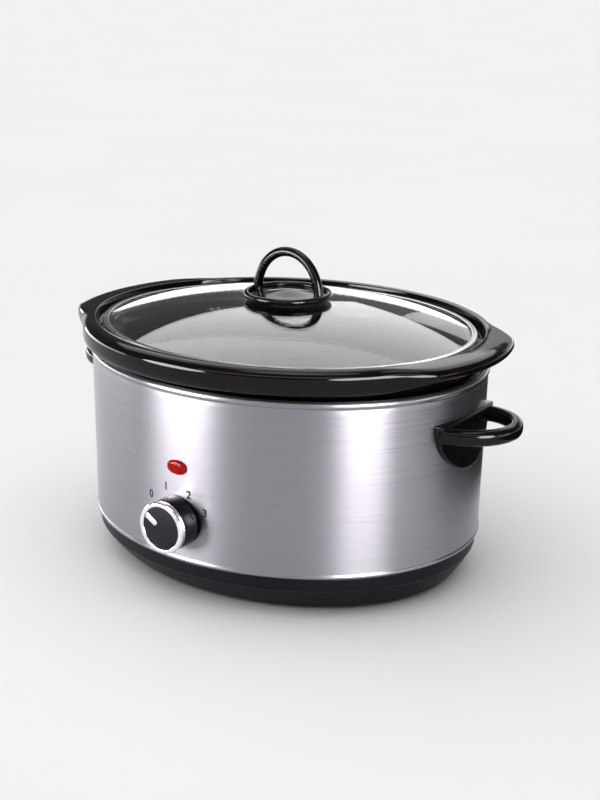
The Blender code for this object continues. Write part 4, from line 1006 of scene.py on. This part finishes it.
def build_knob(gloss, bright, dial):
    """Black drum, bright ring, sunk charcoal face and a round-ended pointer."""
    radius, front = KNOB_RING_RADIUS, KNOB_FRONT
    ring_back = front - KNOB_RING_DEPTH
    ring_inner = radius - KNOB_RING_WIDTH
    seat = ring_back - CLEARANCE
    face_radius = ring_inner - CLEARANCE
    boss_front = front - 2.4 * MM
    shaft_front = seat - 3 * MM
    hub = SHAFT_RADIUS + CLEARANCE
    drum = [
        (0.0, shaft_front + CLEARANCE),
        (hub, shaft_front + CLEARANCE),
        (hub, 3.8 * MM),
        (hub + 2.6 * MM, 3.8 * MM),
        (hub + 2.6 * MM, seat - 4 * MM),
        (radius - 3.4 * MM, seat - 5 * MM),
        (radius - 2.4 * MM, 1.8 * MM),
        (radius - 0.2 * MM, 1.8 * MM),
        (radius - 0.7 * MM, seat),
        (face_radius, seat),
        (face_radius, boss_front),
        (0.0, boss_front),
    ]
    body = turned("knob_drum", drum, 0.5 * MM, gloss, KNOB_AXIS)
    place(body, "knob", "gloss_black_plastic", "control_knob")
    ring = [
        (ring_inner, ring_back),
        (radius - 0.4 * MM, ring_back),
        (radius, ring_back + 0.8 * MM),
        ((radius, front - 1.4 * MM), 1 * MM),
        ((radius - 1.1 * MM, front), 0.8 * MM),
        ((ring_inner + 0.7 * MM, front), 0.5 * MM),
        (ring_inner, front - 0.7 * MM),
    ]
    band = turned("knob_band", ring, 0.3 * MM, bright, KNOB_AXIS, hoop=True, steps=4)
    place(band, "knob", "chrome", "knob_ring")
    back = boss_front + CLEARANCE
    face = [(0.0, back), (face_radius, back), (face_radius, back + 1.1 * MM), (0.0, back + 1.1 * MM)]
    disc = turned("knob_disc", face, 0.3 * MM, dial, KNOB_AXIS)
    place(disc, "knob", "charcoal_plastic", "knob_face")
    build_pointer(bright, face_radius, back + 1.1 * MM + CLEARANCE)


def build_pointer(bright, face_radius, low):
    """A flat bar with one round end, standing at the off setting."""
    half, thickness, edge = 2.2 * MM, 0.5 * MM, 0.2 * MM
    reach, inner_end = face_radius - 0.6 * MM, 6.6 * MM
    top = low + thickness
    rings = []
    for inset, z in ((0, low), (0, top - edge), (edge / 3, top - edge / 3), (edge, top)):
        outline = [(reach - inset, -half + inset), (reach - inset, half - inset)]
        outline += arc((inner_end, 0), half - inset, 90, 270, 16)
        rings.append([Vector((x, y, z)) for x, y in outline])
    turn = KNOB_AXIS @ Matrix.Rotation(OFF_ANGLE, 4, "Z")
    mark = put("pointer_bar", loft(rings), bright, turn)
    place(mark, "knob", "chrome", "knob_pointer")


def build_lens(material):
    """Oval lens: a flange on the steel, a low crowned window, and a stem with the lamp's socket."""

    wide, high = 2 * half_size("indicator_lens").x / MM, 2 * half_size("indicator_lens").z / MM
    crown = [(0.2, 0.2, 0.3), (0, 0, 0.5), (0, 0, 1.1), (0.3, 0.3, 1.45), (1.1, 1.1, 1.8), (2.4, 2.3, 2.2)]
    crown += [(4.4, 4.0, 2.55), (7.0, 6.0, 2.78), (10.4, 8.4, 2.88)]
    sections = [(12.0, 8.0, -7.0), (12.0, 8.0, 0.3)]
    sections += [(wide - less_wide, high - less_high, proud) for less_wide, less_high, proud in crown]
    rings = []
    for width, height, proud in (*sections, (1.6, 1.0, 2.9)):
        flat = rounded_outline(width * MM, height * MM, 64, power=2.2)
        rings.append([Vector((x, WALL_Y - proud * MM, LENS_HEIGHT + z)) for x, z in flat])
    lens = put("red_window", loft(rings), material)
    start, end = (0, WALL_Y + 8 * MM, LENS_HEIGHT), (0, WALL_Y - CLEARANCE, LENS_HEIGHT)
    combine(lens, [pin(LAMP_SOCKET_RADIUS, start, end)], "DIFFERENCE")
    place(lens, "housing", "red_lens", "indicator_lens")


def build_gland(material):
    """Ribbed cord gland on the rear wall."""
    inner = -STEEL_SHEET - 2 * CLEARANCE
    back = -3.6 * MM
    end = 9 * MM
    profile = [
        (GLAND_BORE, back),
        (GLAND_NUT, back),
        (GLAND_NUT, inner),
        (GLAND_NECK, inner),
        (GLAND_NECK, CLEARANCE),
        (GLAND_FLANGE, CLEARANCE),
        (GLAND_FLANGE, 2.4 * MM),
        (6.4 * MM, 3.6 * MM),
    ]
    for z in (4.4, 5.9, 7.4):
        rib = ((6.2, 0.0), (5.3, 0.3), (5.2, 0.9), (5.9, 1.2))
        profile += [(radius * MM, (z + rise) * MM) for radius, rise in rib]
    profile += [(5.4 * MM, end), (GLAND_BORE, end)]
    wall = Matrix.Translation((0, BODY_Y + HOUSING[1], GLAND_HEIGHT))
    rear = wall @ Matrix.Rotation(radians(-90), 4, "X")
    gland = turned("ribbed_gland", profile, 0.25 * MM, material, rear, hoop=True, segments=64)
    place(gland, "housing", "satin_black_plastic", "cord_gland")


def wall_frame(x, z, out):
    """Matrix of a flat mark laid on the front wall at x and z."""
    y = -HOUSING[1] * sqrt(1 - (x / HOUSING[0]) ** 2)
    normal = oval_normal(x, y)
    across = UP.cross(normal)
    turn = Matrix((across, UP, normal)).transposed().to_4x4()
    return Matrix.Translation(Vector((x, y + BODY_Y, z)) + normal * out) @ turn


def build_legend(ink):
    """Plain numerals for the dial's four settings, printed on the steel around the knob."""
    for text, (x, z) in NUMERAL_PLACES.items():
        curve = bpy.data.curves.new(f"numeral_{text}", "FONT")
        curve.body = text
        curve.size = NUMERAL_HEIGHT
        curve.extrude = INK_THICKNESS
        curve.offset = NUMERAL_BOLDNESS
        curve.align_x = "CENTER"
        curve.align_y = "CENTER"
        scratch = add(f"scratch_{text}", curve)
        mesh = evaluated_mesh(scratch)
        bpy.data.objects.remove(scratch, do_unlink=True)
        mesh.name = f"numeral_{text}"
        mesh.transform(wall_frame(x * MM, KNOB_HEIGHT + z * MM, INK_PROUD))
        mesh.materials.clear()
        mesh.materials.append(ink)
        place(add(f"numeral_{text}", mesh), "housing", "satin_black_plastic")


def dress_inner_parts(sheet, glass, satin):
    """Materials for the CAD nodes that stay."""
    fasteners = ["band_clamp", "fuse_clip", "lens_clip", "lid_screw", "switch_nut", "switch_shaft"]
    fasteners += ["tie_bolt", "tie_nut", "tie_washer"]
    for end in ("left", "right"):
        for where in ("front", "rear"):
            fasteners += [f"handle_screw_{end}_{where}", f"handle_washer_{end}_{where}"]
    groups = (
        (heater_foil(), ["heater_band"]),
        (glass_fibre(), ["insulation_wrap"]),
        (sheet, ["heat_shield"]),
        (zinc(), fasteners),
        (glass, ["thermal_fuse", "neon_lamp"]),
        (satin, ["terminal_block", "rotary_switch"]),
        (lead_sleeve(), ["lead_live", "lead_switched", "lead_fuse", "lead_neutral"]),
        (silicone(), ["lid_gasket", "lid_washer"]),
    )
    for material, nodes in groups:
        for node in nodes:
            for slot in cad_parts[node].material_slots:
                slot.material = material


# Stage, light and camera


def direction(azimuth, elevation):
    """Unit vector towards a place round the cooker: azimuth 0 is in front of it and 90 at its right."""
    a, e = radians(azimuth), radians(elevation)
    return Vector((sin(a) * cos(e), -cos(a) * cos(e), sin(e)))


def softbox(name, azimuth, elevation, distance, width, height, radiance, shape="RECTANGLE", roll=0):
    """An area light that faces the cooker and that only glossy surfaces see."""
    light = bpy.data.lights.new(name, "AREA")
    light.shape = shape
    light.size, light.size_y = width, height
    light.energy = radiance * pi * width * height
    obj = add(name, light)
    target = Vector((0, BODY_Y, LIGHT_TARGET_HEIGHT))
    away = direction(azimuth, elevation)
    obj.location = target + away * distance
    turn = away.to_track_quat("Z", "Y").to_matrix() @ Matrix.Rotation(radians(roll), 3, "Z")
    obj.rotation_euler = turn.to_euler()
    obj.visible_diffuse = False
    obj.visible_camera = False


def build_lights():
    """A soft overall light for matt surfaces, and softboxes that only glossy ones see."""
    sky = bpy.data.lights.new("soft_overall", "SUN")
    sky.energy = 2.8
    sky.angle = radians(110)
    obj = add("soft_overall", sky)
    obj.rotation_euler = (radians(8), radians(-10), 0)
    obj.visible_glossy = False
    for box in SOFTBOXES:
        softbox(*box)


def build_world():
    """A backdrop that is pale to the camera, and in reflections pale only up to just over the horizon."""
    world = bpy.data.worlds.new("studio")
    world.use_nodes = True
    bpy.context.scene.world = world
    tree = world.node_tree
    new, link = tree.nodes.new, tree.links.new
    source, split = new("ShaderNodeTexCoord"), new("ShaderNodeSeparateXYZ")
    ramp, path, backdrop = new("ShaderNodeValToRGB"), new("ShaderNodeLightPath"), new("ShaderNodeMix")
    fill_ramp(ramp, [(position, level, level, level * 1.02) for position, level in SKY_STOPS])
    backdrop.data_type = "RGBA"
    backdrop.inputs["B"].default_value = BACKDROP
    link(source.outputs["Generated"], split.inputs["Vector"])
    link(split.outputs["Z"], ramp.inputs["Fac"])
    link(path.outputs["Is Camera Ray"], backdrop.inputs["Factor"])
    link(ramp.outputs["Color"], backdrop.inputs["A"])
    link(backdrop.outputs["Result"], tree.nodes["Background"].inputs["Color"])


def grid(name, parts, half, material):
    bm = bmesh.new()
    bmesh.ops.create_grid(bm, x_segments=parts, y_segments=parts, size=half)
    return put(name, bm, material)


def build_floor():
    floor = grid("floor", 24, 40.0, floor_paint())
    floor.location.z = -0.2 * MM


def build_flag():
    """A dark card on the floor at the back right, seen only in reflections, to keep the blacks deep."""
    s = Shader("dark_card", (0.02, 0.02, 0.02), 0.9, Specular_IOR_Level=0.0)
    s.tint(s.noise(30.0), (0.018, 0.018, 0.020), (0.024, 0.024, 0.026))
    flag = grid("dark_card", 8, CARD_HALF, s.material)
    flag.location = Vector((0, BODY_Y, 0.5 * MM)) + direction(CARD_AZIMUTH, 0) * CARD_DISTANCE
    flag.rotation_euler.z = radians(CARD_AZIMUTH)
    flag.visible_camera = False
    flag.visible_diffuse = False
    flag.visible_shadow = False


def build_camera():
    """A standing viewer's three-quarter view from the right of the control."""
    back = direction(CAMERA_AZIMUTH, CAMERA_ELEVATION)
    target = Vector((0, BODY_Y, CAMERA_TARGET_HEIGHT))
    roll = radians(CAMERA_ROLL)
    right = (-back).cross(UP).normalized()
    up = right.cross(-back)
    right, up = right * cos(roll) + up * sin(roll), up * cos(roll) - right * sin(roll)
    camera = bpy.data.cameras.new("camera")
    camera.lens = CAMERA_LENS
    camera.sensor_width = 36.0
    camera.shift_x, camera.shift_y = CAMERA_SHIFT
    camera.clip_start, camera.clip_end = 0.01, 200.0
    obj = add("camera", camera)
    turn = Matrix((right, up, back)).transposed().to_4x4()
    obj.matrix_world = Matrix.Translation(target + back * CAMERA_DISTANCE) @ turn
    bpy.context.scene.camera = obj
    bpy.context.scene.view_settings.view_transform = "Standard"


def main():
    steel, bright, band = brushed_steel(), chrome(), polished_steel()
    gloss, satin, dial = gloss_plastic(), satin_plastic(), dial_plastic()
    glass, metal_sheet = clear_glass(), galvanised()
    build_camera()
    build_floor()
    build_flag()
    build_lights()
    build_world()
    build_housing(steel)
    build_base(satin)
    build_feet(rubber())
    build_well(metal_sheet)
    build_crock(glaze())
    build_lid_glass(glass)
    build_lid_rim(band)
    build_lid_handle(gloss)
    build_side_handle("left", -1, gloss)
    build_side_handle("right", 1, gloss)
    build_knob(gloss, bright, dial)
    build_lens(red_lens())
    build_gland(satin)
    build_legend(printed_ink())
    dress_inner_parts(metal_sheet, glass, satin)


main()
